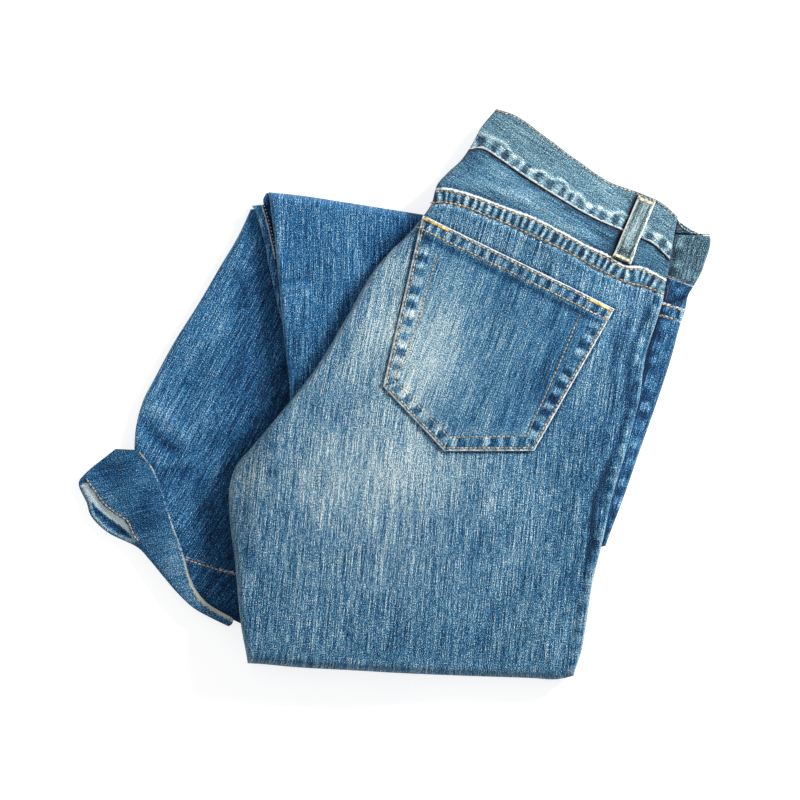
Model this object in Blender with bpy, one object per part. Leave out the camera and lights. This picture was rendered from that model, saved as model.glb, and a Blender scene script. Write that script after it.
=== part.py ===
"""Denim trousers folded for the shelf and laid flat.

The pair is folded in half lengthwise with the backs outside, the legs are folded
under along the lower edge, and folded under once more along an upper edge that is
covered on the right. Sizes in the tables are millimetres, seen from above: x to the
right, y up the page, z off the floor. The origin is under the middle of the box.
"""

import math

import bmesh
import bpy
import numpy as np

MM = 0.001
MIDDLE_OF_BOX = (-1.108, 0.035, 0.0)     # of the tables below, mm

# Cloth sizes, mm
PLY = 1.2              # wall of one denim ply
BAND_PLY = 2.4         # waistband, folded double with its seams turned in
POCKET_PLY = 1.2
LOOP_PLY = 1.4
STRIP_PLY = 3.0        # edge of the lower of the two middle legs, two plies
GAP = 0.3              # clear space between two pieces that touch
SEAM_GAP = 0.25        # half the clear space along a seam
CORE_GAP = 0.5         # clear space between a visible ply and the hidden plies
LEVEL_GAP = 0.85       # clear space between two fold levels
CORE_SLACK = 0.9       # more core gap where the stack sags

# Fold levels, mm
LOWER_RISE = 8.0       # four plies of the lower legs
MIDDLE_RISE = 9.0      # four plies of the middle legs
HALF_RISE = 5.5        # each half of the seat and thighs, two plies
TURNUP_RISE = 3.0      # turned-up hem corner
BAND_LIFT = 1.2        # waistband above the yoke
FELL_LIFT = 0.9        # felled seam above the yoke
HEM_LIFT = 0.7         # hem allowance above the leg
SAG_LEFT = 34.0        # how far the cloth takes to come down past a lower edge
SAG_RIGHT = 80.0
LOWER_SAG_LEFT, LOWER_SAG_RIGHT = 45.0, 70.0
FLOOR_CLEAR = 0.6      # a rolled edge stops this far above the floor
ROLL_END = 150.0       # degrees that a rolled edge turns through

# Edges of the right half, seen from above: x_mm, y_mm
LEFT_EDGE = [
    (-108.5, -197.0), (-113.0, -168.0), (-117.5, -124.0), (-122.0, -84.5),
    (-122.0, -69.5), (-117.0, -52.5), (-105.0, -38.5), (-81.0, -10.0), (-59.0, 18.0),
    (-35.0, 57.5), (-15.5, 90.5), (-4.5, 103.5), (9.5, 117.0), (19.0, 128.5),
    (25.5, 138.0), (30.5, 153.5), (38.0, 162.0), (47.5, 171.0), (53.5, 179.5),
    (63.5, 197.0), (73.5, 209.0),
]
FOLD_EDGE = [
    (-108.5, -197.0), (-99.0, -197.5), (-77.5, -199.5), (-33.5, -202.0),
    (10.0, -204.5), (54.0, -206.5), (98.0, -208.0), (119.5, -208.8), (130.0, -206.5),
]
WAIST_TOP = [
    (73.5, 209.0), (86.0, 205.0), (109.0, 189.0), (133.0, 171.0), (156.0, 155.5),
    (178.0, 147.5), (195.0, 140.0), (206.5, 130.0),
]
WAIST_SEAM = [
    (53.5, 179.5), (63.5, 179.0), (73.5, 173.0), (87.5, 163.0), (115.5, 144.5),
    (143.0, 128.5), (165.5, 119.0), (189.0, 109.0), (200.5, 98.0),
]
YOKE_SEAM = [
    (28.5, 148.0), (35.0, 148.5), (46.0, 146.5), (63.0, 141.0), (82.5, 133.5),
    (99.0, 127.5), (119.5, 117.0), (142.5, 105.0), (153.0, 100.5), (167.5, 92.5),
    (179.5, 91.5), (197.5, 82.5),
]
YOKE_LOW = [
    (25.5, 138.0), (34.5, 138.5), (45.5, 136.5), (63.0, 130.0), (82.5, 122.0),
    (105.0, 111.5), (119.5, 105.0), (149.5, 89.0), (172.5, 79.5), (182.5, 77.5),
    (196.0, 72.0),
]

# Side of the two halves, fold to waist: right half x, y, then left half x, y, mm
SIDE_ROWS = [
    (130.0, -206.5, 130.5, -206.5), (135.5, -188.0, 136.0, -188.0),
    (138.5, -171.0, 140.0, -171.0), (144.0, -136.0, 145.5, -136.0),
    (150.0, -112.0, 153.5, -111.0), (157.5, -77.5, 166.5, -76.5),
    (168.5, -41.0, 179.5, -39.5), (178.0, -4.5, 192.5, -3.0),
    (183.5, 30.0, 203.0, 29.5), (191.5, 55.0, 208.5, 50.0),
    (195.5, 68.0, 212.5, 62.0), (197.0, 77.0, 214.5, 72.0),
    (198.7, 86.0, 218.5, 79.0), (201.5, 103.0, 226.0, 94.0),
    (204.0, 117.0, 230.5, 116.0), (206.5, 130.0, 213.0, 125.5),
]
SIDE_LOW, SIDE_YOKE, SIDE_WAIST, SIDE_TOP = 4, 10, 12, 14     # rows of the table

# Middle legs: x_mm, y_mm
MIDDLE_TOP = [(-93.5, 148.0), (-77.5, 146.5), (-33.5, 140.0), (19.5, 131.5), (122.0, 115.5)]
MIDDLE_LEFT = [
    (-104.5, -191.5), (-101.0, -160.0), (-90.0, -110.0), (-80.0, -50.0),
    (-77.5, -4.5), (-82.5, 46.5), (-86.0, 83.0), (-88.5, 111.5), (-91.5, 134.0),
    (-93.5, 148.0),
]
MIDDLE_RIGHT = [(125.0, -200.0), (130.0, -121.0), (128.0, -4.5), (122.0, 115.5)]
MIDDLE_FOLD = [(-104.5, -191.5), (-33.5, -196.5), (54.0, -201.0), (125.0, -200.0)]

# Strip of the lower middle leg beside the upper one: outer x, y, inner x, y, mm
STRIP_ROWS = [
    (-82.0, 46.0, -80.0, 46.0), (-86.0, 62.0, -82.5, 62.0), (-91.0, 83.5, -85.0, 83.5),
    (-93.5, 95.0, -86.0, 95.0), (-96.0, 109.0, -87.5, 109.0),
    (-100.0, 124.0, -90.5, 124.0), (-103.0, 133.0, -93.0, 132.0),
    (-105.5, 138.0, -94.8, 139.0),
]

# Lower legs: x_mm, y_mm
LOWER_LEFT = [
    (-139.5, -155.5), (-155.0, -141.5), (-168.0, -118.5), (-179.5, -93.5),
    (-188.5, -66.5), (-192.0, -38.5), (-190.5, -22.0), (-185.5, -4.5), (-176.5, 13.0),
    (-162.0, 39.5), (-145.5, 65.5), (-130.0, 92.0), (-114.5, 118.5), (-106.5, 136.0),
]
LOWER_HEM = [(-139.5, -155.5), (-127.0, -162.0), (-111.5, -169.5), (-70.0, -182.0), (-8.0, -190.0)]
LOWER_RIGHT = [(-8.0, -190.0), (54.0, -41.0), (109.0, 104.0)]
LOWER_TOP = [(-106.5, 136.0), (-80.0, 133.0), (3.0, 121.0), (109.0, 104.0)]

# Turned-up hem corner, foot to top: hem edge x, y, then crease x, y, mm
TURNUP_ROWS = [
    (-119.5, -165.0, -121.0, -169.5), (-129.0, -160.0, -134.5, -163.0),
    (-141.0, -152.0, -149.0, -154.5), (-148.0, -143.0, -159.0, -145.0),
    (-152.5, -132.0, -169.5, -133.0), (-155.5, -121.0, -179.5, -121.0),
    (-159.0, -110.0, -189.5, -111.0), (-163.0, -99.0, -210.0, -101.0),
    (-166.5, -88.5, -222.0, -90.0), (-170.0, -77.0, -226.0, -79.0),
    (-173.5, -66.0, -231.5, -67.0), (-178.0, -56.0, -229.0, -61.5),
    (-184.5, -46.5, -216.5, -50.5), (-188.5, -42.0, -204.5, -42.0),
]

# Back pocket corners: x_mm, y_mm
POCKET = {
    "top_left": (19.5, 130.0), "top_right": (159.5, 62.0), "low_right": (100.5, -41.5),
    "low_left": (35.0, -41.5), "left": (-9.5, 5.5),
}
# Belt loop, foot to top: left x, y, right x, y, lift over the yoke, mm
LOOP_ROWS = [
    (157.5, 100.0, 171.5, 94.5, 0.3), (160.0, 105.0, 173.5, 99.5, 0.3),
    (165.0, 117.0, 177.5, 111.5, 1.9), (169.0, 126.0, 181.5, 120.5, 2.1),
    (173.5, 136.5, 186.0, 131.0, 1.9), (177.5, 145.5, 190.0, 140.5, 1.7),
]

# Largest soft folds: from x, y, to x, y, half width, depth below the cloth, mm
FOLD_ROWS = [
    (182.0, 50.0, 152.0, -85.0, 9.0, 1.3),
    (150.0, -60.0, 128.0, -170.0, 11.0, 0.9),
    (-92.0, -150.0, -60.0, -60.0, 14.0, 0.8),
]

SEAT_COLUMNS = 14
PANEL_ROWS, YOKE_ROWS, BAND_ROWS = 16, 4, 3
SIDE_CLEAR = 0.9       # right half's side edge above the left half
STEP_IN, STEP_OUT = 4.2, 3.8      # where the hidden plies step down at the right half's side

# Pieces of the left half: name, first and last row of the side table, rows, colour, wall mm
SIDE_PIECES = [
    ("left_back_panel", SIDE_LOW, SIDE_YOKE, 10, "dark", PLY),
    ("left_back_yoke", SIDE_YOKE, SIDE_WAIST, 3, "dark", PLY),
    ("waistband_left", SIDE_WAIST, SIDE_TOP, 4, "band", PLY),
]

# Ring tables for edges: inset_mm, drop_mm, share of the way down to the tail
TRIM_RINGS = [(1.4, 0.0, 0.0), (0.4, 0.0, 0.15), (0.0, 0.0, 0.5), (0.2, 0.0, 1.0)]
BAND_LEFT_RINGS = [(4.6, 0, 0.0), (1.8, 0, 0.1), (0.3, 0, 0.4), (0.0, 0, 0.7), (0.4, 0, 1.0)]
BAND_RIGHT_RINGS = [(3.0, 0, 0.0), (1.2, 0, 0.1), (0.3, 0, 0.4), (0.0, 0, 0.7), (0.4, 0, 1.0)]
BAND_TOP_RINGS = [(1.6, 0, 0.0), (0.8, 0, 0.1), (0.2, 0, 0.4), (0.0, 0, 0.7), (0.3, 0, 1.0)]
SEAM_SIDE_RINGS = [(SEAM_GAP, 0, 0.0), (SEAM_GAP, 0, 0.25), (SEAM_GAP, 0, 0.5),
                   (SEAM_GAP, 0, 0.75), (SEAM_GAP, 0, 1.0)]
LEG_RINGS = [
    (4.4, 0.0, 0.0), (3.0, 0.0, 0.12), (2.5, 0.0, 0.38), (1.2, 0.0, 0.5), (0.4, 0.0, 0.6),
    (0.1, 0.0, 0.8), (1.2, 0.0, 1.0),
]

COLOURS = {
    "lower": (0.085, 0.150, 0.270, 1.0), "middle": (0.120, 0.195, 0.330, 1.0),
    "seat": (0.180, 0.260, 0.400, 1.0), "band": (0.150, 0.230, 0.370, 1.0),
    "dark": (0.060, 0.110, 0.210, 1.0), "loop": (0.420, 0.480, 0.560, 1.0),
    "inner": (0.070, 0.110, 0.190, 1.0),
}


def smooth(t):
    """Ease from 0 to 1."""
    t = np.clip(t, 0.0, 1.0)
    return t * t * (3.0 - 2.0 * t)


class Curve:
    """Smooth curve through a few points, read at 0 to 1 of its length."""

    def __init__(self, points, knots=None):
        self.points = np.array(points, float)
        steps = np.linalg.norm(np.diff(self.points, axis=0), axis=1)
        self.knots = np.append(0.0, np.cumsum(steps)) / steps.sum() if knots is None else knots
        slopes = np.gradient(self.points, self.knots, axis=0)
        self.slopes = slopes

    def __call__(self, t):
        t = np.clip(np.asarray(t, float), 0.0, 1.0)
        k = np.clip(np.searchsorted(self.knots, t, side="right") - 1, 0, len(self.knots) - 2)
        span = self.knots[k + 1] - self.knots[k]
        s = ((t - self.knots[k]) / span)[..., None]
        span = span[..., None]
        return (
            (2 * s**3 - 3 * s**2 + 1) * self.points[k] + (s**3 - 2 * s**2 + s) * span * self.slopes[k]
            + (3 * s**2 - 2 * s**3) * self.points[k + 1] + (s**3 - s**2) * span * self.slopes[k + 1]
        )

    def near(self, point):
        """Where along the curve a point lies."""
        t = np.linspace(0.0, 1.0, 2001)
        return float(t[np.argmin(np.linalg.norm(self(t) - np.array(point), axis=1))])


class Corner:
    """Two or more straight runs, read at 0 to 1 of their length."""

    def __init__(self, points):
        self.points = np.array(points, float)
        steps = np.linalg.norm(np.diff(self.points, axis=0), axis=1)
        self.knots = np.append(0.0, np.cumsum(steps)) / steps.sum()

    def __call__(self, t):
        t = np.asarray(t, float)
        return np.stack([np.interp(t, self.knots, self.points[:, a]) for a in (0, 1)], axis=-1)


def part_of(curve, start, end):
    """The stretch of a curve from start to end."""
    return lambda t: curve(start + (end - start) * np.asarray(t, float))


def between(points, first, last):
    """A seam whose ends are moved onto the edges that it runs between."""
    return Curve([tuple(first)] + list(points[1:-1]) + [tuple(last)])


class Patch:
    """Plan of a panel: four edges, blended across."""

    def __init__(self, left, right, bottom, top):
        self.left, self.right, self.bottom, self.top = left, right, bottom, top
        self.corners = [edge(end) for edge in (bottom, top) for end in (0.0, 1.0)]

    def __call__(self, u, v):
        u, v = np.broadcast_arrays(np.asarray(u, float), np.asarray(v, float))
        low_left, low_right, top_left, top_right = self.corners
        a, b = u[..., None], v[..., None]
        ruled = (1 - a) * self.left(v) + a * self.right(v) + (1 - b) * self.bottom(u) + b * self.top(u)
        flat = (1 - b) * ((1 - a) * low_left + a * low_right) + b * ((1 - a) * top_left + a * top_right)
        return ruled - flat


def rows_patch(rows, first=(0, 1), second=(2, 3)):
    """Plan of a strip, from a table with a point of each side in every row."""
    table = np.array(rows, float)
    left = Curve(table[:, list(first)])
    right = Curve(table[:, list(second)], left.knots)
    return Patch(left, right, Corner([left(0.0), right(0.0)]), Corner([left(1.0), right(1.0)]))


def outline(patch, count=36):
    """Points all round a patch."""
    t = np.linspace(0.0, 1.0, count, endpoint=False)
    return np.concatenate([
        patch.bottom(t), patch.right(t), patch.top(1.0 - t), patch.left(1.0 - t),
    ])


def inside(points, ring):
    """Signed distance to a closed outline, more than zero inside it."""
    best = np.full(points.shape[:-1], np.inf)
    odd = np.zeros(points.shape[:-1], bool)
    for a, b in zip(ring, np.roll(ring, -1, axis=0)):
        run = b - a
        length = float(run @ run)
        if length < 1e-12:
            continue
        t = np.clip(((points - a) @ run) / length, 0.0, 1.0)[..., None]
        best = np.minimum(best, np.linalg.norm(points - (a + t * run), axis=-1))
        above = (a[1] > points[..., 1]) != (b[1] > points[..., 1])
        rise = b[1] - a[1] if abs(b[1] - a[1]) > 1e-12 else 1e-12
        odd ^= above & (points[..., 0] < a[0] + (points[..., 1] - a[1]) * run[0] / rise)
    return np.where(odd, best, -best)


LEFT = Curve(LEFT_EDGE)
RIGHT = Curve([row[:2] for row in SIDE_ROWS])
OUTER = Curve([row[2:] for row in SIDE_ROWS], RIGHT.knots)
FOLD = Curve(FOLD_EDGE)
WAIST = Curve(WAIST_TOP)
LEFT_WAIST, LEFT_YOKE = LEFT.near(WAIST_SEAM[0]), LEFT.near(YOKE_LOW[0])
RIGHT_WAIST, RIGHT_YOKE = RIGHT.near(WAIST_SEAM[-1]), RIGHT.near(YOKE_LOW[-1])
BAND_LINE = between(WAIST_SEAM, LEFT(LEFT_WAIST), RIGHT(RIGHT_WAIST))
YOKE_LINE = between(YOKE_LOW, LEFT(LEFT_YOKE), RIGHT(RIGHT_YOKE))
FELL_LINE = Curve(YOKE_SEAM)

HALF = Patch(LEFT, RIGHT, FOLD, WAIST)
PANEL = Patch(part_of(LEFT, 0.0, LEFT_YOKE), part_of(RIGHT, 0.0, RIGHT_YOKE), FOLD, YOKE_LINE)
YOKE = Patch(
    part_of(LEFT, LEFT_YOKE, LEFT_WAIST), part_of(RIGHT, RIGHT_YOKE, RIGHT_WAIST), YOKE_LINE, BAND_LINE
)
BAND = Patch(part_of(LEFT, LEFT_WAIST, 1.0), part_of(RIGHT, RIGHT_WAIST, 1.0), BAND_LINE, WAIST)
MIDDLE = Patch(Curve(MIDDLE_LEFT), Curve(MIDDLE_RIGHT), Curve(MIDDLE_FOLD), Curve(MIDDLE_TOP))
LOWER = Patch(Curve(LOWER_LEFT), Curve(LOWER_RIGHT), Curve(LOWER_HEM), Curve(LOWER_TOP))
STRIP = rows_patch(STRIP_ROWS)
TURNUP = rows_patch(TURNUP_ROWS)
LOOP = rows_patch(LOOP_ROWS)
BACK_POCKET = Patch(
    Corner([POCKET["left"], POCKET["top_left"]]), Corner([POCKET["low_right"], POCKET["top_right"]]),
    Corner([POCKET["left"], POCKET["low_left"], POCKET["low_right"]]),
    Corner([POCKET["top_left"], POCKET["top_right"]]),
)
LOWER_RING, MIDDLE_RING, HALF_RING = outline(LOWER), outline(MIDDLE), outline(HALF, 60)


def side_patch(first, last, tuck=1.2):
    """Plan of a stretch of the left half beside the right one, tucked a little under it."""
    a, b = RIGHT.knots[first], RIGHT.knots[last]
    edge, outer = part_of(RIGHT, a, b), part_of(OUTER, a, b)

    def tucked(t):
        across = outer(t) - edge(t)
        return edge(t) - across / np.linalg.norm(across, axis=-1, keepdims=True) * tuck

    return Patch(
        tucked, outer, Corner([tucked(0.0), outer(0.0)]), Corner([tucked(1.0), outer(1.0)])
    )


def sag(points, ring, rise, left=SAG_LEFT, right=SAG_RIGHT):
    """Height that an edge below gives the cloth above it, and how much the cloth bends there."""
    reach = left + (right - left) * smooth((points[..., 0] + 40.0) / 100.0)
    away = inside(points, ring)
    lift = smooth(1.0 + (away + 8.0) / reach)
    return rise * lift, smooth((away + reach + 30.0) / 30.0) * smooth((27.0 - away) / 30.0)


def middle_under(points):
    """Underside of the middle legs."""
    return sag(points, LOWER_RING, LOWER_RISE + LEVEL_GAP, LOWER_SAG_LEFT, LOWER_SAG_RIGHT)[0]


def middle_top(points):
    return middle_under(points) + MIDDLE_RISE


def seat_under(points):
    """Underside of the two halves."""
    return middle_under(points) + sag(points, MIDDLE_RING, MIDDLE_RISE + LEVEL_GAP)[0]


def soft_folds(points, spread=1.0):
    """Depth of the largest soft folds."""
    depth = np.zeros(points.shape[:-1])
    for x0, y0, x1, y1, half_width, deep in FOLD_ROWS:
        a, run = np.array((x0, y0)), np.array((x1 - x0, y1 - y0))
        along = ((points - a) @ run) / float(run @ run)
        away = np.linalg.norm(points - (a + np.clip(along, 0.0, 1.0)[..., None] * run), axis=-1)
        fade = smooth(1.0 - np.maximum(-along, along - 1.0) * 3.0) * smooth(along * 4.0 + 1.0)
        depth += deep * fade * np.exp(-((away / (half_width * spread)) ** 2))
    return depth


def seat_top(points):
    """Upper face of the right half."""
    return seat_under(points) + 2.0 * HALF_RISE - soft_folds(points)


def side_top(points):
    """Upper face of the left half where it shows."""
    return seat_under(points) + HALF_RISE


def roll(radius, base=0.0, start=0.0, end=ROLL_END, count=6):
    """Rings of a rolled edge."""
    turns = [math.radians(start + (end - start) * k / count) for k in range(count + 1)]
    first, last = turns[0], turns[-1]
    whole = (1.0 - math.cos(math.pi)) if end > 90.0 and start < 90.0 else math.cos(first) - math.cos(last)
    return [
        (base + radius * (1.0 - math.sin(a)), 0.0, (math.cos(first) - math.cos(a)) / whole)
        for a in turns
    ]


def stacked(plies, base=0.0, depth=1.1):
    """Rings of an edge that shows the rounded rims of several plies."""
    rings = []
    for k in range(2 * plies + 1):
        rings.append((base + (depth if k % 2 == 0 else 0.0), 0.0, k / (2.0 * plies)))
    return rings


def ring_at(rings, share):
    """A ring table read part of the way down, share from 0 to 1."""
    table = np.array(rings, float)
    at = np.asarray(share) * (len(table) - 1)
    return tuple(np.interp(at, np.arange(len(table)), table[:, a]) for a in range(3))


def is_flat(edge):
    """A flat edge is given as its inset alone."""
    return isinstance(edge, float)


def edge_at(edge, share):
    """Inset, drop and share of the way to the tail, for a flat or a ringed edge."""
    return (edge, 0.0, 0.0) if is_flat(edge) else ring_at(edge, share)


def end_direction(curve, end):
    """Direction that leads away from one end of an edge."""
    near = curve(np.array([0.0, 0.004]) if end == 0 else np.array([1.0, 0.996]))
    run = near[1] - near[0]
    return near[0], run / np.linalg.norm(run)


def meet(first, second, first_in, second_in):
    """Where two edges meet once both are moved in, and how far along each that is."""
    (corner, run_a), (_, run_b) = first, second
    turn = run_a[0] * run_b[1] - run_a[1] * run_b[0]
    if abs(turn) < 0.5:
        return None, second_in, first_in
    normal_a = np.array([-run_a[1], run_a[0]]) * np.sign(turn)
    normal_b = np.array([run_b[1], -run_b[0]]) * np.sign(turn)
    offset = np.linalg.solve(np.array([normal_a, normal_b]), np.array([first_in, second_in]))
    return corner + offset, max(offset @ run_a, 0.0), max(offset @ run_b, 0.0)


def offset_run(curve, count, inset, before, after, turn, lines=None):
    """Points along an edge, moved in by its inset and kept clear of the corners."""
    points = curve(np.linspace(0.0, 1.0, 601))
    steps = np.linalg.norm(np.diff(points, axis=0), axis=1)
    length = np.append(0.0, np.cumsum(steps))
    part = np.linspace(0.0, 1.0, count + 1) if lines is None else lines
    at = before + (length[-1] - before - after) * part
    spot = np.stack([np.interp(at, length, points[:, a]) for a in (0, 1)], axis=-1)
    ahead = np.stack([np.interp(at + 0.8, length, points[:, a]) for a in (0, 1)], axis=-1)
    behind = np.stack([np.interp(at - 0.8, length, points[:, a]) for a in (0, 1)], axis=-1)
    run = ahead - behind
    run /= np.linalg.norm(run, axis=-1, keepdims=True)
    return spot + inset * turn * np.column_stack([-run[:, 1], run[:, 0]])


# Corners of a piece: side, its end, the edge across it, that edge's end
CORNERS = ((0, 0, 2, 0), (0, 1, 3, 0), (1, 0, 2, 1), (1, 1, 3, 1))


class Cloth:
    """Where each point of a piece lies, from its plan, its faces and its edges' rings."""

    def __init__(self, plan, top, tail, left, right, bottom, top_edge, under=None,
                 left_lines=None, right_lines=None, step=None):
        self.plan, self.top, self.tail, self.under = plan, top, tail, under
        self.edges = (left, right, bottom, top_edge)
        self.left_lines, self.right_lines, self.step = left_lines, right_lines, step

    def outline(self, share, columns, rows):
        """The four edges at one ring, meeting at shared corners."""
        insets = [edge_at(edge, share)[0] for edge in self.edges]
        curves = (self.plan.left, self.plan.right, self.plan.bottom, self.plan.top)
        ends = {}
        for side, end, cross, cross_end in CORNERS:
            ends[side, end], ends[cross, cross_end] = None, None
            corner, along, across = meet(
                end_direction(curves[side], end), end_direction(curves[cross], cross_end),
                insets[side], insets[cross],
            )
            ends[side, end], ends[cross, cross_end] = along, across
            ends[side, end, "corner"] = corner
        counts = (rows, rows, columns, columns)
        lines = (self.left_lines, self.right_lines, None, None)
        runs = [
            offset_run(curves[k], counts[k], insets[k], ends[k, 0], ends[k, 1], turn, lines[k])
            for k, turn in enumerate((-1.0, 1.0, 1.0, -1.0))
        ]
        for side, end, cross, cross_end in CORNERS:
            a, b = (0 if end == 0 else -1), (0 if cross_end == 0 else -1)
            corner = ends[side, end, "corner"]
            if corner is None:
                corner = 0.5 * (runs[side][a] + runs[cross][b])
            runs[side][a] = runs[cross][b] = corner
        return runs, ends

    def sheet_plan(self, share, columns, rows):
        """Every grid point at one ring."""
        main = columns - (len(self.step.lines) if self.step else 0)
        (left, right, bottom, top), ends = self.outline(share, main, rows)
        edge = right
        if self.step:
            bottom_in, top_in = ends[1, 0], ends[1, 1]
            right = self.step.inner(rows, bottom_in, top_in, self.right_lines)
            bottom, top = self.step.fit(bottom, right[0]), self.step.fit(top, right[-1])
        u = np.linspace(0.0, 1.0, main + 1)[:, None, None]
        v = np.linspace(0.0, 1.0, rows + 1)[None, :, None]
        grid = (
            (1 - u) * left[None] + u * right[None] + (1 - v) * bottom[:, None] + v * top[:, None]
            - (1 - v) * ((1 - u) * bottom[0] + u * bottom[-1]) - v * ((1 - u) * top[0] + u * top[-1])
        )
        if self.step:
            past = self.step.outer(rows, bottom_in, top_in, self.right_lines)
            more = [past + (edge - past) * line for line in self.step.lines]
            grid = np.concatenate([grid, np.stack(more)], axis=0)
        return grid

    def place(self, i, j, side, below, columns, rows):
        """Points in mm for arrays of columns, rows and shares of the way down the side."""
        level = np.where(below, 1.0, side)
        points = np.zeros((len(i), 2))
        drop, share = np.zeros(len(i)), np.zeros(len(i))
        hits = np.stack([i == 0, i == columns, j == 0, j == rows]).astype(float)
        hits *= np.array([[not is_flat(edge)] for edge in self.edges])
        count = np.maximum(hits.sum(axis=0), 1.0)
        for ring in np.unique(level.round(6)):
            pick = level.round(6) == ring
            grid = self.sheet_plan(float(ring), columns, rows)
            points[pick] = grid[i[pick], j[pick]]
            for k, edge in enumerate(self.edges):
                _, down, part = edge_at(edge, float(ring))
                drop[pick] += hits[k][pick] * down / count[pick]
                share[pick] += hits[k][pick] * part / count[pick]
        upper, tail = self.top(points), self.tail(points, j / rows)
        rim = hits.sum(axis=0) > 0
        z = np.where(rim, upper - drop + share * (tail - upper + drop), upper)
        if self.under:
            z = np.where(below & ~rim, self.under(points), z)
        return np.column_stack([points, z])


class Step:
    """Where the hidden plies step down to the left half, past the right half's side."""

    lines = (0.0, 0.5, 1.0)

    def inner(self, rows, bottom, top, lines):
        return offset_run(RIGHT, rows, STEP_IN, bottom, top, 1.0, lines)

    def outer(self, rows, bottom, top, lines):
        return offset_run(RIGHT, rows, STEP_OUT, bottom, top, 1.0, lines)

    def fit(self, run, end):
        """Stretch a run of points so that it ends at the step."""
        part = np.linspace(0.0, 1.0, len(run))[:, None]
        return run + part * (end - run[-1])


def number_points(bm, columns, rows):
    """Give every point of a fresh grid its column, its row and its place down the side."""
    layers = (
        bm.verts.layers.int.new("column"), bm.verts.layers.int.new("row"),
        bm.verts.layers.float.new("side"), bm.verts.layers.int.new("below"),
    )
    for vert in bm.verts:
        vert[layers[0]] = round((vert.co.x + 0.5) * columns)
        vert[layers[1]] = round((vert.co.y + 0.5) * rows)
    return layers


def shape(bm, layers, cloth, columns, rows):
    """Move every numbered point to its place on the cloth."""
    verts = list(bm.verts)
    i, j, side, below = (np.array([vert[layer] for vert in verts]) for layer in layers)
    places = cloth.place(i, j, side.astype(float), below == 1, columns, rows)
    places = (places - np.array(MIDDLE_OF_BOX)) * MM
    for vert, place in zip(verts, places):
        vert.co = place


def dress(bm, name, colour, thickness=None):
    """Turn a mesh into a named object with its own material and, for a ply, its wall."""
    mesh = bpy.data.meshes.new(name)
    bm.to_mesh(mesh)
    bm.free()
    mesh.shade_smooth()
    piece = bpy.data.objects.new(name, mesh)
    bpy.context.scene.collection.objects.link(piece)
    material = bpy.data.materials.new(name + "_denim")
    material.use_nodes = True
    surface = material.node_tree.nodes["Principled BSDF"]
    surface.inputs["Base Color"].default_value = COLOURS[colour]
    surface.inputs["Roughness"].default_value = 0.9
    surface.inputs["Metallic"].default_value = 0.0
    mesh.materials.append(material)
    if thickness:
        wall = piece.modifiers.new("cloth wall", "SOLIDIFY")
        wall.thickness = thickness * MM
        wall.offset = -1.0
        wall.use_rim = True
    return piece


def sheet(name, cloth, columns, rows, rings, thickness, colour):
    """A ply of cloth: a grid with rings down its edges, then given its wall."""
    bm = bmesh.new()
    bmesh.ops.create_grid(bm, x_segments=columns, y_segments=rows, size=0.5)
    layers = number_points(bm, columns, rows)
    lines = [(layers[0], 0), (layers[0], columns), (layers[1], 0), (layers[1], rows)]
    ringed = [line for line, edge in zip(lines, cloth.edges) if not is_flat(edge)]
    rim = [
        edge for edge in bm.edges if edge.is_boundary
        and any(all(vert[layer] == at for vert in edge.verts) for layer, at in ringed)
    ]
    for k in range(1, rings + 1):
        grown = bmesh.ops.extrude_edge_only(bm, edges=rim)["geom"]
        for vert in (g for g in grown if isinstance(g, bmesh.types.BMVert)):
            vert[layers[2]] = k / rings
        rim = [
            g for g in grown if isinstance(g, bmesh.types.BMEdge) and g.is_boundary
            and all(abs(vert[layers[2]] - k / rings) < 1e-4 for vert in g.verts)
        ]
    shape(bm, layers, cloth, columns, rows)
    bmesh.ops.recalc_face_normals(bm, faces=bm.faces)
    if max(bm.faces, key=lambda face: abs(face.normal.z) * face.calc_area()).normal.z < 0.0:
        bmesh.ops.reverse_faces(bm, faces=bm.faces)
    return dress(bm, name, colour, thickness)


def block(name, cloth, columns, rows, rings, colour):
    """Hidden plies as one solid: a grid, its copy below, and rings down the sides."""
    bm = bmesh.new()
    bmesh.ops.create_grid(bm, x_segments=columns, y_segments=rows, size=0.5)
    layers = number_points(bm, columns, rows)
    made = bmesh.ops.extrude_face_region(bm, geom=list(bm.faces), use_keep_orig=True)["geom"]
    for vert in (g for g in made if isinstance(g, bmesh.types.BMVert)):
        vert[layers[2]], vert[layers[3]] = 1.0, 1
    risers = [edge for edge in bm.edges if edge.verts[0][layers[3]] != edge.verts[1][layers[3]]]
    bmesh.ops.subdivide_edges(bm, edges=risers, cuts=rings - 1, use_grid_fill=True)
    for vert in bm.verts:
        vert[layers[3]] = int(vert[layers[2]] > 0.999)
    shape(bm, layers, cloth, columns, rows)
    bmesh.ops.recalc_face_normals(bm, faces=bm.faces)
    return dress(bm, name, colour)


def trim(plan, top, wall, **edges):
    """A piece of even thickness that lies on a panel."""
    return Cloth(
        plan, top, lambda p, v: top(p) - wall, under=lambda p: top(p) - wall, **edges
    )


def flat_floor(points):
    return np.zeros(points.shape[:-1])


def lower_top(points):
    """Upper face of the lower legs, raised over the hem allowance."""
    hem = inside(points, LOWER_RING)
    near_hem = smooth((-118.0 - points[..., 1] - 0.29 * (points[..., 0] + 155.0)) / 5.0)
    return LOWER_RISE - 0.35 + HEM_LIFT * 0.5 * near_hem * (hem > -50.0)


def under_ply(top, wall=PLY):
    """Upper face of the hidden plies below a visible ply."""
    def face(points):
        _, low = sag(points, LOWER_RING, 1.0, LOWER_SAG_LEFT, LOWER_SAG_RIGHT)
        _, mid = sag(points, MIDDLE_RING, 1.0)
        return top(points) - wall - CORE_GAP - CORE_SLACK * np.maximum(low, mid)
    return face


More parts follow.
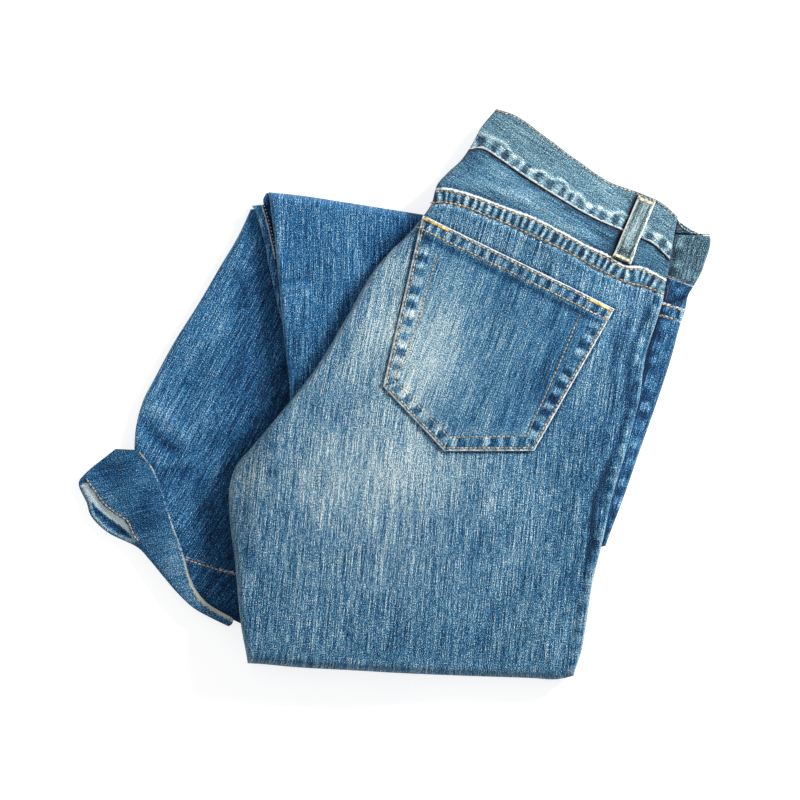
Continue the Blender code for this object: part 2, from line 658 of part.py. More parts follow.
def build_lower_legs():
    inner = Cloth(
        LOWER, lambda p: np.full(p.shape[:-1], LOWER_RISE - 0.35 - PLY - CORE_GAP),
        lambda p, v: 0.0 * v,
        left=LEG_RINGS, right=stacked(3), bottom=LEG_RINGS, top_edge=stacked(3), under=flat_floor,
    )
    block("lower_legs_inner", inner, 8, 12, 6, "inner")
    ply = Cloth(
        LOWER, lower_top, lambda p, v: 3.6 + 0.0 * v,
        left=roll(2.6, end=120.0), right=0.5, bottom=roll(2.6, end=120.0), top_edge=0.5,
    )
    sheet("right_leg_lower", ply, 8, 12, 4, PLY, "lower")

    def turnup_top(points):
        out = inside(points, LOWER_RING)
        return 5.2 + (LOWER_RISE + GAP + TURNUP_RISE - 5.2) * smooth(1.0 + (out - 9.0) / 40.0)

    def turnup_under(points):
        return (LOWER_RISE + 0.25 + GAP) * smooth(1.0 + (inside(points, LOWER_RING) + 2.5) / 12.0)

    turned = Cloth(
        TURNUP, turnup_top, lambda p, v: turnup_under(p),
        left=[(0.8, 0, 0), (0.25, 0, 0.12), (0.0, 0, 0.5), (0.2, 0, 1.0)],
        right=[(1.5, 0, 0), (0.5, 0, 0.15), (0.0, 0, 0.5), (0.9, 0, 1.0)],
        bottom=[(0.6, 0, 0), (0.2, 0, 0.15), (0.0, 0, 0.5), (0.3, 0, 1.0)],
        top_edge=[(0.6, 0, 0), (0.2, 0, 0.15), (0.0, 0, 0.5), (0.3, 0, 1.0)],
        under=turnup_under,
    )
    block("right_leg_hem_turnup", turned, 5, 20, 3, "dark")


def build_middle_legs():
    inner = Cloth(
        MIDDLE, under_ply(middle_top),
        lambda p, v: middle_under(p),
        left=[(4.5, 0, 0), (2.9, 0, 0.15), (2.5, 0, 0.4), (3.2, 0, 0.5), (2.6, 0, 0.7), (3.2, 0, 1.0)],
        right=stacked(2, 0.6), bottom=[(1.0, 0, 0), (0.2, 0, 0.2), (0.8, 0, 0.45), (0.4, 0, 0.6),
                                       (1.6, 0, 0.8), (3.8, 0, 1.0)],
        top_edge=[(6.0, 0, 0), (4.2, 0, 0.15), (3.2, 0, 0.4), (2.8, 0, 0.6), (2.6, 0, 0.8), (2.6, 0, 1.0)],
        under=middle_under,
    )
    block("middle_legs_inner", inner, 10, 13, 5, "inner")

    def tail(points, along):
        left = middle_under(points) + STRIP_PLY + 3.0 * GAP
        return left + (FLOOR_CLEAR - left) * smooth((along - 0.955) / 0.03)

    ply = Cloth(
        MIDDLE, middle_top, tail,
        left=roll(3.0, end=110.0), right=0.3, bottom=0.3, top_edge=roll(6.0),
    )
    sheet("left_leg_middle", ply, 11, 14, 5, PLY, "middle")
    strip = Cloth(
        STRIP,
        lambda p: LOWER_RISE + 0.3 + GAP + STRIP_PLY + 0.0 * p[..., 0],
        lambda p, v: LOWER_RISE + GAP + 0.0 * v,
        left=[(1.0, 0, 0), (0.3, 0, 0.12), (0.0, 0, 0.5), (0.4, 0, 1.0)],
        right=[(0.4, 0, 0), (0.1, 0, 0.12), (0.0, 0, 0.5), (0.1, 0, 1.0)],
        bottom=[(0.4, 0, 0), (0.1, 0, 0.12), (0.0, 0, 0.5), (0.1, 0, 1.0)],
        top_edge=[(0.4, 0, 0), (0.1, 0, 0.12), (0.0, 0, 0.5), (0.1, 0, 1.0)],
        under=lambda p: LOWER_RISE + GAP + 0.0 * p[..., 0],
    )
    block("right_leg_middle", strip, 2, 9, 3, "middle")


def from_side(points):
    """Distance to the side edge of the right half."""
    edge = RIGHT(np.linspace(0.0, 1.0, 240))
    return np.linalg.norm(points[..., None, :] - edge, axis=-1).min(axis=-1)


def seat_inner_top(points):
    """Upper face of the hidden plies, a step lower where only the left half lies."""
    upper, lower = under_ply(seat_top)(points), under_ply(side_top)(points)
    from_step = np.where(inside(points, HALF_RING) > 0.0, from_side(points), 0.0) - STEP_OUT
    return lower + (upper - lower) * smooth(from_step / (STEP_IN - STEP_OUT) * 1.1 - 0.05)


def build_seat():
    stations = np.cumsum([0, PANEL_ROWS, YOKE_ROWS, BAND_ROWS])
    rows = np.arange(stations[-1] + 1)
    left_lines = np.interp(rows, stations, [0.0, LEFT_YOKE, LEFT_WAIST, 1.0])
    right_lines = np.interp(rows, stations, [0.0, RIGHT_YOKE, RIGHT_WAIST, 1.0])
    inner = Cloth(
        Patch(LEFT, OUTER, FOLD, WAIST), seat_inner_top, lambda p, v: seat_under(p),
        left=[(5.2, 0, 0), (3.4, 0, 0.12), (2.6, 0, 0.32), (2.6, 0, 0.5), (3.4, 0, 0.68), (5.6, 0, 1.0)],
        right=[(3.4, 0, 0), (3.1, 0, 0.12), (2.95, 0, 0.3), (2.9, 0, 0.5), (3.0, 0, 0.7), (3.3, 0, 1.0)],
        bottom=[(8.0, 0, 0), (5.6, 0, 0.15), (3.8, 0, 0.4), (3.2, 0, 0.6), (2.8, 0, 0.8), (2.8, 0, 1.0)],
        top_edge=[(2.6, 0, 0), (1.2, 0, 0.15), (2.2, 0, 0.34), (1.0, 0, 0.5), (2.2, 0, 0.67), (1.4, 0, 1.0)],
        under=seat_under, left_lines=left_lines, right_lines=right_lines, step=Step(),
    )
    block("seat_inner", inner, SEAT_COLUMNS + 3, len(rows) - 1, 5, "inner")

    def side_tail(points):
        return side_top(points) + SIDE_CLEAR

    def panel_tail(points, along):
        rise = smooth((along - 0.015) / 0.06)
        side = smooth((from_side(points) - 6.0) / 6.0)
        upper = side_tail(points) * (1.0 - side) + (seat_under(points) + GAP) * side
        return FLOOR_CLEAR + (upper - FLOOR_CLEAR) * rise

    def seam_tail(points, along):
        return np.where(from_side(points) < 20.0, side_tail(points), seat_under(points) + GAP)

    def yoke_top(points):
        line = YOKE_LINE(np.linspace(0.0, 1.0, 120))
        away = np.linalg.norm(points[..., None, :] - line, axis=-1).min(axis=-1)
        return seat_top(points) + FELL_LIFT * smooth((12.0 - away) / 3.0)

    side_roll = [(3.0, 0, 0), (1.4, 0, 0.06), (0.5, 0, 0.2), (0.1, 0, 0.45), (0.0, 0, 0.7), (0.0, 0, 1.0)]
    edge_roll = roll(4.6)
    panel = Cloth(
        PANEL, seat_top, panel_tail,
        left=edge_roll, right=side_roll, bottom=roll(7.0), top_edge=SEAM_GAP,
    )
    sheet("right_back_panel", panel, SEAT_COLUMNS, PANEL_ROWS, 5, PLY, "seat")
    yoke = Cloth(
        YOKE, yoke_top, seam_tail,
        left=edge_roll, right=side_roll, bottom=SEAM_GAP, top_edge=SEAM_GAP,
    )
    sheet("right_back_yoke", yoke, SEAT_COLUMNS, YOKE_ROWS, 5, PLY, "seat")
    band = trim(
        BAND, lambda p: seat_top(p) + BAND_LIFT, BAND_PLY,
        left=BAND_LEFT_RINGS, right=BAND_RIGHT_RINGS, bottom=SEAM_SIDE_RINGS, top_edge=BAND_TOP_RINGS,
    )
    block("waistband_right", band, SEAT_COLUMNS, BAND_ROWS, 4, "band")

    for name, first, last, rows, colour, wall in SIDE_PIECES:
        plan = side_patch(first, last)
        piece = Cloth(
            plan, lambda p, lift=wall - PLY: side_top(p) + lift,
            lambda p, v: seat_under(p) + FLOOR_CLEAR,
            left=0.0, right=roll(2.0, end=120.0), bottom=SEAM_GAP, top_edge=SEAM_GAP,
        )
        sheet(name, piece, 3, rows, 4, wall, colour)


def build_trims():
    def pocket_top(points):
        _, low = sag(points, LOWER_RING, 1.0, LOWER_SAG_LEFT, LOWER_SAG_RIGHT)
        _, mid = sag(points, MIDDLE_RING, 1.0)
        return seat_top(points) + GAP + POCKET_PLY + 0.4 * np.maximum(low, mid)

    pocket = trim(
        BACK_POCKET, pocket_top, POCKET_PLY,
        left=TRIM_RINGS, right=TRIM_RINGS, bottom=TRIM_RINGS, top_edge=TRIM_RINGS,
    )
    block("right_back_pocket", pocket, 12, 10, 3, "seat")

    heights = Curve([(row[4], 0.0) for row in LOOP_ROWS], LOOP.left.knots)

    def loop_top(points):
        along = np.linspace(0.0, 1.0, 101)
        middle = 0.5 * (LOOP.left(along) + LOOP.right(along))
        at = along[np.argmin(np.linalg.norm(points[..., None, :] - middle, axis=-1), axis=-1)]
        return seat_top(points) + heights(at)[..., 0] + LOOP_PLY + 0.6

    loop = trim(
        LOOP, loop_top, LOOP_PLY,
        left=TRIM_RINGS, right=TRIM_RINGS, bottom=TRIM_RINGS, top_edge=TRIM_RINGS,
    )
    block("side_belt_loop", loop, 2, 10, 3, "loop")


def main():
    for item in list(bpy.data.objects):
        bpy.data.objects.remove(item, do_unlink=True)
    build_lower_legs()
    build_middle_legs()
    build_seat()
    build_trims()


if __name__ == "__main__":
    main()
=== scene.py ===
"""Folded denim trousers: the cloth, seams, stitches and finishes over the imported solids.

Sizes in the tables are millimetres, seen from above: x to the right, y up the page,
z off the floor. A tone runs from 0, the darkest dye, to 1, the palest.
"""

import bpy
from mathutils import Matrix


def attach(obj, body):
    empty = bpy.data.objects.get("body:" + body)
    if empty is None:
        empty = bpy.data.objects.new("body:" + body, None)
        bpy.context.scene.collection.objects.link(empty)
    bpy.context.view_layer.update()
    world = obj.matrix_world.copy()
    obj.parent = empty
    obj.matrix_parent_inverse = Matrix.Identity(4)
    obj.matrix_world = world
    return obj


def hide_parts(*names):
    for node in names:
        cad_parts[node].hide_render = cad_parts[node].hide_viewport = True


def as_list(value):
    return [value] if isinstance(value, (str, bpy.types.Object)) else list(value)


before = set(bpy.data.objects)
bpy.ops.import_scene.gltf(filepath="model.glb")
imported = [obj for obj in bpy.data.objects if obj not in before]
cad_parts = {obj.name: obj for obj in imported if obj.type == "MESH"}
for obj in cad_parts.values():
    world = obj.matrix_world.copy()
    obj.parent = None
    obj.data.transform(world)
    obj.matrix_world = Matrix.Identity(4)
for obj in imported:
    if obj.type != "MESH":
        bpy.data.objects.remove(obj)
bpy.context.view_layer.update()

import math

import bmesh
import bpy
import numpy as np
from bpy.props import FloatProperty, FloatVectorProperty, PointerProperty
from mathutils import Vector, noise

bl_info = {
    "name": "Folded denim trousers",
    "version": (1, 0, 0),
    "blender": (4, 5, 0),
    "location": "3D View > Sidebar > Trousers",
    "description": "Builds a folded pair of denim trousers piece by piece",
    "category": "Object",
}

MM = 0.001
MIDDLE_OF_BOX = (-1.108, 0.035, 0.0)     # of the tables below, mm

# Cloth sizes, mm
PLY = 1.2
BAND_PLY = 2.4
POCKET_PLY = 1.2
LOOP_PLY = 1.4
STRIP_PLY = 3.0
GAP = 0.3
SEAM_SHOWN = 0.05                        # gap at a seam that shows
CORE_GAP = 0.5
LEVEL_GAP = 0.85
CORE_SLACK = 0.9

# Fold levels, mm
LOWER_RISE = 8.0
MIDDLE_RISE = 9.0
HALF_RISE = 5.5
TURNUP_RISE = 3.0
BAND_LIFT = 1.2
FELL_LIFT = 0.9
SAG_LEFT = 34.0
SAG_RIGHT = 80.0
LOWER_SAG_LEFT, LOWER_SAG_RIGHT = 45.0, 70.0
FLOOR_CLEAR = 0.6
ROLL_END = 150.0                         # how far a rolled edge turns, degrees
ROLL_RINGS = 12
RIM_DEPTH = 1.1                          # hollow between the rounded rims of two plies
UNWORN = 99.0                            # distance to a worn line where a piece has none
CREASE_SHADING = 0.14                       # painted highlight on a crease's ridge and painted shade in its trough, as tone for each mm of rise

# Where the seams are sewn, from the edge of their piece, mm
FELL_SEWN, YOKE_SEWN, WAIST_SEWN = -0.95, 1.1, -1.5
POCKET_SEWN, HEM_SEWN = 2.2, 9.5
SEWN_DIP = -0.3                          # rise of the cloth along the pocket's seams
SEAM_PERIOD = 8.8                        # from pucker to pucker
GULLY_IN = 9.5                           # from the side edge to the gully beside its ridge
NEAR_SIDE = 20.0                         # how far in the left half carries the right one

# Edges of the right half, seen from above: x_mm, y_mm
LEFT_EDGE = [
    (-108.5, -197.0), (-113.0, -168.0), (-117.5, -124.0), (-122.0, -84.5),
    (-122.0, -69.5), (-117.0, -52.5), (-105.0, -38.5), (-81.0, -10.0), (-59.0, 18.0),
    (-35.0, 57.5), (-15.5, 90.5), (-4.5, 103.5), (9.5, 117.0), (19.0, 128.5),
    (25.5, 138.0), (30.5, 153.5), (38.0, 162.0), (47.5, 171.0), (53.5, 179.5),
    (63.5, 197.0), (73.5, 209.0),
]
FOLD_EDGE = [
    (-108.5, -197.0), (-99.0, -197.5), (-77.5, -199.5), (-33.5, -202.0),
    (10.0, -204.5), (54.0, -206.5), (98.0, -208.0), (119.5, -208.8), (130.0, -206.5),
]
WAIST_TOP = [
    (73.5, 209.0), (86.0, 205.0), (109.0, 189.0), (133.0, 171.0), (156.0, 155.5),
    (178.0, 147.5), (195.0, 140.0), (206.5, 130.0),
]
WAIST_SEAM = [
    (53.5, 179.5), (63.5, 179.0), (73.5, 173.0), (87.5, 163.0), (115.5, 144.5),
    (143.0, 128.5), (165.5, 119.0), (189.0, 109.0), (200.5, 98.0),
]
YOKE_SEAM = [
    (28.5, 148.0), (35.0, 148.5), (46.0, 146.5), (63.0, 141.0), (82.5, 133.5),
    (99.0, 127.5), (119.5, 117.0), (142.5, 105.0), (153.0, 100.5), (167.5, 92.5),
    (179.5, 91.5), (197.5, 82.5),
]
YOKE_LOW = [
    (25.5, 138.0), (34.5, 138.5), (45.5, 136.5), (63.0, 130.0), (82.5, 122.0),
    (105.0, 111.5), (119.5, 105.0), (149.5, 89.0), (172.5, 79.5), (182.5, 77.5),
    (196.0, 72.0),
]

# Side of the two halves, fold to waist: right half x, y, then left half x, y, mm
SIDE_ROWS = [
    (130.0, -206.5, 130.5, -206.5), (135.5, -188.0, 136.0, -188.0),
    (138.5, -171.0, 140.0, -171.0), (144.0, -136.0, 145.5, -136.0),
    (150.0, -112.0, 153.5, -111.0), (157.5, -77.5, 166.5, -76.5),
    (168.5, -41.0, 179.5, -39.5), (178.0, -4.5, 192.5, -3.0),
    (183.5, 30.0, 203.0, 29.5), (191.5, 55.0, 208.5, 50.0),
    (195.5, 68.0, 212.5, 62.0), (197.0, 77.0, 214.5, 72.0),
    (198.7, 86.0, 218.5, 79.0), (201.5, 103.0, 226.0, 94.0),
    (204.0, 117.0, 230.5, 116.0), (206.5, 130.0, 213.0, 125.5),
]
SIDE_LOW, SIDE_YOKE, SIDE_WAIST, SIDE_TOP = 4, 10, 12, 14     # rows of the table

# Middle legs: x_mm, y_mm
MIDDLE_TOP = [(-93.5, 148.0), (-77.5, 146.5), (-33.5, 140.0), (19.5, 131.5), (122.0, 115.5)]
MIDDLE_LEFT = [
    (-104.5, -191.5), (-101.0, -160.0), (-90.0, -110.0), (-80.0, -50.0),
    (-77.5, -4.5), (-82.5, 46.5), (-86.0, 83.0), (-88.5, 111.5), (-91.5, 134.0),
    (-93.5, 148.0),
]
MIDDLE_RIGHT = [(125.0, -200.0), (130.0, -121.0), (128.0, -4.5), (122.0, 115.5)]
MIDDLE_FOLD = [(-104.5, -191.5), (-33.5, -196.5), (54.0, -201.0), (125.0, -200.0)]

# Strip of the lower middle leg beside the upper one: outer x, y, inner x, y, mm
STRIP_ROWS = [
    (-82.0, 46.0, -80.0, 46.0), (-86.0, 62.0, -82.5, 62.0), (-91.0, 83.5, -85.0, 83.5),
    (-93.5, 95.0, -86.0, 95.0), (-96.0, 109.0, -87.5, 109.0),
    (-100.0, 124.0, -90.5, 124.0), (-103.0, 133.0, -93.0, 132.0),
    (-105.5, 138.0, -94.8, 139.0),
]

# Inside of the left waistband, past the right one: upper edge x, y, lower edge x, y, mm
INSIDE_ROWS = [
    (206.4, 129.0, 204.8, 118.4), (209.0, 124.8, 208.6, 118.2), (212.0, 121.8, 212.0, 118.0),
    (216.0, 119.6, 216.0, 117.6), (223.0, 118.0, 223.0, 117.0), (230.6, 117.2, 230.5, 116.5),
]

# Inside of the left leg, seen between its fold and the strip: outer x, y, inner x, y, mm
OPENING_ROWS = [
    (-85.6, 98.0, -84.0, 98.0), (-87.1, 109.0, -85.0, 109.0), (-88.6, 117.0, -86.0, 117.0),
    (-90.4, 124.0, -87.0, 124.0), (-93.2, 132.0, -88.4, 132.0), (-96.6, 137.6, -89.5, 138.4),
    (-97.4, 142.4, -90.2, 142.4), (-95.0, 147.4, -91.0, 147.0),
]

# Lower legs: x_mm, y_mm
LOWER_LEFT = [
    (-139.5, -155.5), (-155.0, -141.5), (-168.0, -118.5), (-179.5, -93.5),
    (-188.5, -66.5), (-192.0, -38.5), (-190.5, -22.0), (-185.5, -4.5), (-176.5, 13.0),
    (-162.0, 39.5), (-145.5, 65.5), (-130.0, 92.0), (-114.5, 118.5), (-106.5, 136.0),
]
LOWER_HEM = [(-139.5, -155.5), (-127.0, -162.0), (-111.5, -169.5), (-70.0, -182.0), (-8.0, -190.0)]
LOWER_RIGHT = [(-8.0, -190.0), (54.0, -41.0), (109.0, 104.0)]
LOWER_TOP = [(-106.5, 136.0), (-80.0, 133.0), (3.0, 121.0), (109.0, 104.0)]

# Turned-up hem corner, foot to top: hem edge x, y, then crease x, y, mm
TURNUP_ROWS = [
    (-119.5, -165.0, -121.0, -169.5), (-129.0, -160.0, -134.5, -163.0),
    (-141.0, -152.0, -149.0, -154.5), (-148.0, -143.0, -159.0, -145.0),
    (-152.5, -132.0, -169.5, -133.0), (-155.5, -121.0, -179.5, -121.0),
    (-159.0, -110.0, -189.5, -111.0), (-163.0, -99.0, -210.0, -101.0),
    (-166.5, -88.5, -222.0, -90.0), (-170.0, -77.0, -226.0, -79.0),
    (-173.5, -66.0, -231.5, -67.0), (-178.0, -56.0, -229.0, -61.5),
    (-184.5, -46.5, -216.5, -50.5), (-188.5, -42.0, -204.5, -42.0),
]

# Back pocket corners: x_mm, y_mm
POCKET = {
    "top_left": (19.5, 130.0), "top_right": (159.5, 62.0), "low_right": (100.5, -41.5),
    "low_left": (35.0, -41.5), "left": (-9.5, 5.5),
}
# Belt loop, foot to top: left x, y, right x, y, lift over the yoke, mm
LOOP_ROWS = [
    (157.5, 100.0, 171.5, 94.5, 0.3), (160.0, 105.0, 173.5, 99.5, 0.3),
    (165.0, 117.0, 177.5, 111.5, 1.9), (169.0, 126.0, 181.5, 120.5, 2.1),
    (173.5, 136.5, 186.0, 131.0, 1.9), (177.5, 145.5, 190.0, 140.5, 1.7),
]

# Largest soft folds: from x, y, to x, y, half width, depth below the cloth, mm
FOLD_ROWS = [
    (182.0, 50.0, 152.0, -85.0, 9.0, 1.3),
    (150.0, -60.0, 128.0, -170.0, 11.0, 0.9),
    (-92.0, -150.0, -60.0, -60.0, 14.0, 0.8),
]

# Smaller creases of the seat and thigh: from x, y, to x, y, half width, rise, mm
SEAT_CREASES = [
    (186.0, 46.0, 180.0, 10.0, 3.4, -1.5), (180.0, 12.0, 170.0, -35.0, 3.8, -1.7),
    (171.0, -28.0, 158.0, -88.0, 3.0, -1.0), (176.0, 45.0, 170.0, 5.0, 4.0, 0.7),
    (160.0, -45.0, 150.0, -95.0, 4.0, -0.9), (153.0, -60.0, 143.0, -120.0, 3.2, -0.8),
    (150.0, 20.0, 144.0, -40.0, 7.0, -0.5), (166.0, 60.0, 160.0, 20.0, 5.0, -0.6),
    (130.0, -80.0, 122.0, -150.0, 8.0, -0.4), (96.0, -70.0, 90.0, -140.0, 10.0, 0.4),
    (60.0, -60.0, 48.0, -120.0, 11.0, -0.4), (20.0, -70.0, 8.0, -130.0, 9.0, 0.35),
    (-20.0, -40.0, -40.0, -110.0, 10.0, -0.45), (-50.0, -20.0, -72.0, -80.0, 9.0, 0.4),
    (-85.0, -40.0, -98.0, -80.0, 6.0, -0.6), (-100.0, -60.0, -60.0, -68.0, 4.5, -0.5),
    (-104.0, -76.0, -70.0, -92.0, 4.0, -0.45), (-108.0, -60.0, -80.0, -42.0, 4.5, 0.5),
    (-100.0, -120.0, -96.0, -175.0, 6.0, -0.5), (-60.0, -130.0, -64.0, -185.0, 9.0, 0.4),
    (0.0, -150.0, -4.0, -195.0, 10.0, -0.4), (70.0, -150.0, 68.0, -195.0, 9.0, -0.4),
    (110.0, -160.0, 112.0, -198.0, 7.0, 0.5), (-10.0, 60.0, -40.0, 10.0, 6.0, 0.35),
    (0.0, 84.0, -14.0, 50.0, 5.0, -0.4), (24.0, 110.0, 8.0, 92.0, 3.5, 0.5),
]
MIDDLE_CREASES = [
    (-90.0, 82.0, -62.0, 84.0, 2.4, -1.2), (-60.0, 140.0, -56.0, 60.0, 9.0, -0.4),
    (-30.0, 130.0, -26.0, 70.0, 8.0, 0.4), (-80.0, 50.0, -70.0, 0.0, 6.0, -0.5),
    (-86.0, 120.0, -84.0, 90.0, 4.0, 0.4), (0.0, 128.0, -10.0, 100.0, 6.0, -0.4),
]
LOWER_CREASES = [
    (-186.0, -20.0, -160.0, -46.0, 4.5, -1.95), (-182.0, -10.0, -150.0, -30.0, 5.0, 1.05),
    (-176.0, -66.0, -150.0, -52.0, 5.0, -0.90), (-150.0, 20.0, -128.0, 60.0, 7.0, 0.75),
    (-160.0, 0.0, -140.0, 36.0, 6.0, -0.75), (-120.0, 90.0, -112.0, 60.0, 5.0, -0.75),
    (-140.0, -80.0, -120.0, -40.0, 8.0, 0.75), (-150.0, -100.0, -132.0, -66.0, 6.0, -0.75),
    (-168.0, -96.0, -148.0, -92.0, 5.0, 0.75),
]
TURNUP_CREASES = [
    (-176.0, -88.0, -160.0, -84.0, 1.6, 0.45), (-174.0, -94.0, -156.0, -90.0, 1.5, -0.4),
    (-172.0, -100.0, -154.0, -95.0, 1.5, 0.4), (-178.0, -106.0, -154.0, -101.0, 1.6, -0.4),
    (-176.0, -112.0, -152.0, -107.0, 1.5, 0.4), (-172.0, -118.0, -150.0, -113.0, 1.4, -0.35),
    (-168.0, -124.0, -150.0, -120.0, 1.4, 0.35), (-190.0, -84.0, -176.0, -72.0, 3.5, -0.8),
    (-206.0, -66.0, -186.0, -56.0, 4.0, 0.6), (-214.0, -80.0, -190.0, -70.0, 3.4, 0.5),
    (-164.0, -134.0, -146.0, -128.0, 1.6, 0.35), (-158.0, -142.0, -142.0, -138.0, 1.6, -0.3),
]

# Paler and darker patches: x, y, half width, half length, lean of the length in degrees, tone
SEAT_FADES = [
    (-6.0, 58.0, 20.0, 52.0, -24.0, 0.29), (12.0, -12.0, 34.0, 56.0, -8.0, 0.24),
    (-36.0, -66.0, 46.0, 42.0, -30.0, 0.20), (30.0, -62.0, 62.0, 22.0, 0.0, 0.14),
    (-104.0, -70.0, 16.0, 22.0, 0.0, 0.12), (-66.0, -20.0, 14.0, 40.0, -38.0, 0.06),
    (-8.0, -140.0, 50.0, 50.0, -10.0, 0.05), (90.0, -110.0, 60.0, 80.0, 0.0, -0.02),
    (136.0, -60.0, 26.0, 90.0, 10.0, -0.06), (20.0, -186.0, 120.0, 20.0, 2.0, -0.05),
    (60.0, 112.0, 70.0, 9.0, 64.0, 0.02), (150.0, 30.0, 14.0, 60.0, 12.0, 0.06),
    (-90.0, -140.0, 24.0, 60.0, -4.0, -0.02), (176.0, -10.0, 6.0, 60.0, 12.0, -0.10),
    (134.0, -58.0, 20.0, 26.0, 0.0, -0.06), (30.0, -168.0, 60.0, 22.0, 0.0, -0.04),
]
POCKET_FADES = [
    (22.0, 40.0, 20.0, 44.0, -18.0, 0.24), (46.0, 50.0, 38.0, 34.0, -20.0, 0.12),
    (16.0, 8.0, 26.0, 26.0, 0.0, 0.16), (60.0, -10.0, 40.0, 28.0, 0.0, 0.02),
    (116.0, 21.0, 20.0, 50.0, -24.0, -0.18), (84.0, 80.0, 60.0, 14.0, 64.0, -0.10),
    (34.0, 100.0, 26.0, 14.0, 64.0, -0.04), (36.0, 18.0, 14.0, 30.0, -20.0, 0.06),
    (110.0, 0.0, 20.0, 30.0, 30.0, -0.06),
]
YOKE_FADES = [
    (70.0, 160.0, 30.0, 12.0, -30.0, 0.10), (110.0, 132.0, 40.0, 10.0, -30.0, 0.12),
    (158.0, 108.0, 14.0, 12.0, 0.0, -0.18), (52.0, 172.0, 12.0, 10.0, 0.0, -0.14),
    (190.0, 92.0, 10.0, 10.0, 0.0, -0.06),
]
# Ripples of the yoke: from x, y, to x, y, half width, rise, mm
YOKE_CREASES = [
    (52.0, 172.0, 92.0, 148.0, 4.0, -0.7), (48.0, 160.0, 100.0, 136.0, 4.5, 0.6),
    (60.0, 149.0, 110.0, 128.0, 3.5, -0.45), (120.0, 134.0, 160.0, 112.0, 4.0, -0.6),
    (112.0, 128.0, 150.0, 108.0, 3.6, 0.5), (172.0, 106.0, 190.0, 94.0, 3.0, -0.6),
]
BAND_FADES = [
    (100.0, 178.0, 50.0, 14.0, -36.0, 0.10), (168.0, 134.0, 40.0, 12.0, -22.0, 0.05),
    (76.0, 196.0, 14.0, 14.0, 0.0, -0.02), (196.0, 118.0, 10.0, 16.0, 0.0, 0.05),
]
MIDDLE_FADES = [
    (-50.0, 90.0, 34.0, 60.0, 0.0, 0.03), (-20.0, 60.0, 14.0, 60.0, -30.0, -0.10),
    (0.0, 110.0, 22.0, 22.0, 0.0, -0.06),
]
LOWER_FADES = [
    (-176.0, -20.0, 10.0, 36.0, -20.0, 0.10), (-150.0, 40.0, 14.0, 60.0, -32.0, 0.05),
    (-110.0, 20.0, 16.0, 90.0, -10.0, -0.14), (-128.0, -110.0, 30.0, 30.0, 0.0, -0.10),
    (-112.0, 100.0, 10.0, 20.0, -24.0, 0.06), (-136.0, -30.0, 18.0, 50.0, -24.0, 0.04),
]
TURNUP_FADES = [
    (-160.0, -110.0, 8.0, 30.0, -16.0, 0.14), (-146.0, -146.0, 12.0, 16.0, 40.0, 0.16),
    (-184.0, -88.0, 10.0, 12.0, 0.0, -0.16), (-200.0, -60.0, 16.0, 12.0, 0.0, -0.06),
    (-186.0, -64.0, 5.0, 14.0, -30.0, 0.12), (-208.0, -78.0, 6.0, 12.0, 40.0, 0.08),
    (-160.0, -133.0, 11.0, 24.0, 35.0, 0.12), (-214.0, -54.0, 12.0, 10.0, 0.0, -0.10),
]

# Stitch rows of the back pocket, as pairs of points: x, y, mm
POCKET_INNER = [
    (30.0, 101.2), (21.9, 74.0), (16.8, 55.5), (12.8, 43.8), (-1.5, 9.9), (38.9, -31.7), (94.9, -30.5),
    (117.1, 17.8), (134.0, 58.2),
]


class TrouserSizes(bpy.types.PropertyGroup):
    """Sizes that a user would change."""

    stitch_pitch: FloatProperty(
        name="Stitch pitch", description="Length of one stitch with its gap",
        default=0.0032, min=0.001, unit="LENGTH")
    thread: FloatProperty(
        name="Thread", description="Thickness of the sewing thread",
        default=0.0009, min=0.0001, unit="LENGTH")
    tack_thread: FloatProperty(
        name="Bar tack thread", description="Thickness of one thread of a bar tack",
        default=0.0007, min=0.0001, unit="LENGTH")
    pucker: FloatProperty(
        name="Pucker", description="Height of the puckers along the seams",
        default=0.00035, min=0.0, unit="LENGTH")
    grid: FloatProperty(
        name="Cloth grid", description="Spacing of the points of a large panel",
        default=0.0019, min=0.0015, unit="LENGTH")
    fine_grid: FloatProperty(
        name="Fine grid", description="Spacing of the points of small pieces",
        default=0.0012, min=0.0008, unit="LENGTH")
    camera_height: FloatProperty(
        name="Camera height", description="Height of the camera above the floor",
        default=2.6, min=0.5, unit="LENGTH")
    view_width: FloatProperty(
        name="View width", description="Width of the floor that the camera sees",
        default=0.5885, min=0.1, unit="LENGTH")


class TrouserColours(bpy.types.PropertyGroup):
    """Colours of threads and worn edges, and of the painted shade in the needle holes."""

    tan_thread: FloatVectorProperty(
        name="Topstitch", description="Thread of the seams", subtype="COLOR", size=3,
        default=(0.60, 0.37, 0.17))
    gold_thread: FloatVectorProperty(
        name="Bar tack", description="Thread of the pocket's bar tacks", subtype="COLOR", size=3,
        default=(0.78, 0.42, 0.12))
    cream_thread: FloatVectorProperty(
        name="Loop tack", description="Thread of the belt loop's tacks", subtype="COLOR", size=3,
        default=(0.62, 0.50, 0.34))
    overlock_thread: FloatVectorProperty(
        name="Overlock", description="Thread of the overlocked edge", subtype="COLOR", size=3,
        default=(0.92, 0.93, 0.90))
    dark_thread: FloatVectorProperty(
        name="Side seam thread", description="Thread beside the side seam", subtype="COLOR", size=3,
        default=(0.13, 0.045, 0.035))
    worn: FloatVectorProperty(
        name="Worn edge", description="Bare yarn where an edge has rubbed", subtype="COLOR", size=3,
        default=(0.70, 0.74, 0.73))
    # painted shade: dark spots in the needle holes between stitches
    needle_hole_shade: FloatVectorProperty(
        name="Needle hole shade", description="Painted shade in a needle hole between two stitches", subtype="COLOR", size=3,
        default=(0.035, 0.06, 0.085))
    floor: FloatVectorProperty(
        name="Floor", description="Pale floor", subtype="COLOR", size=3, default=(0.5, 0.5, 0.5))


def smooth(t):
    """Ease from 0 to 1."""
    t = np.clip(t, 0.0, 1.0)
    return t * t * (3.0 - 2.0 * t)


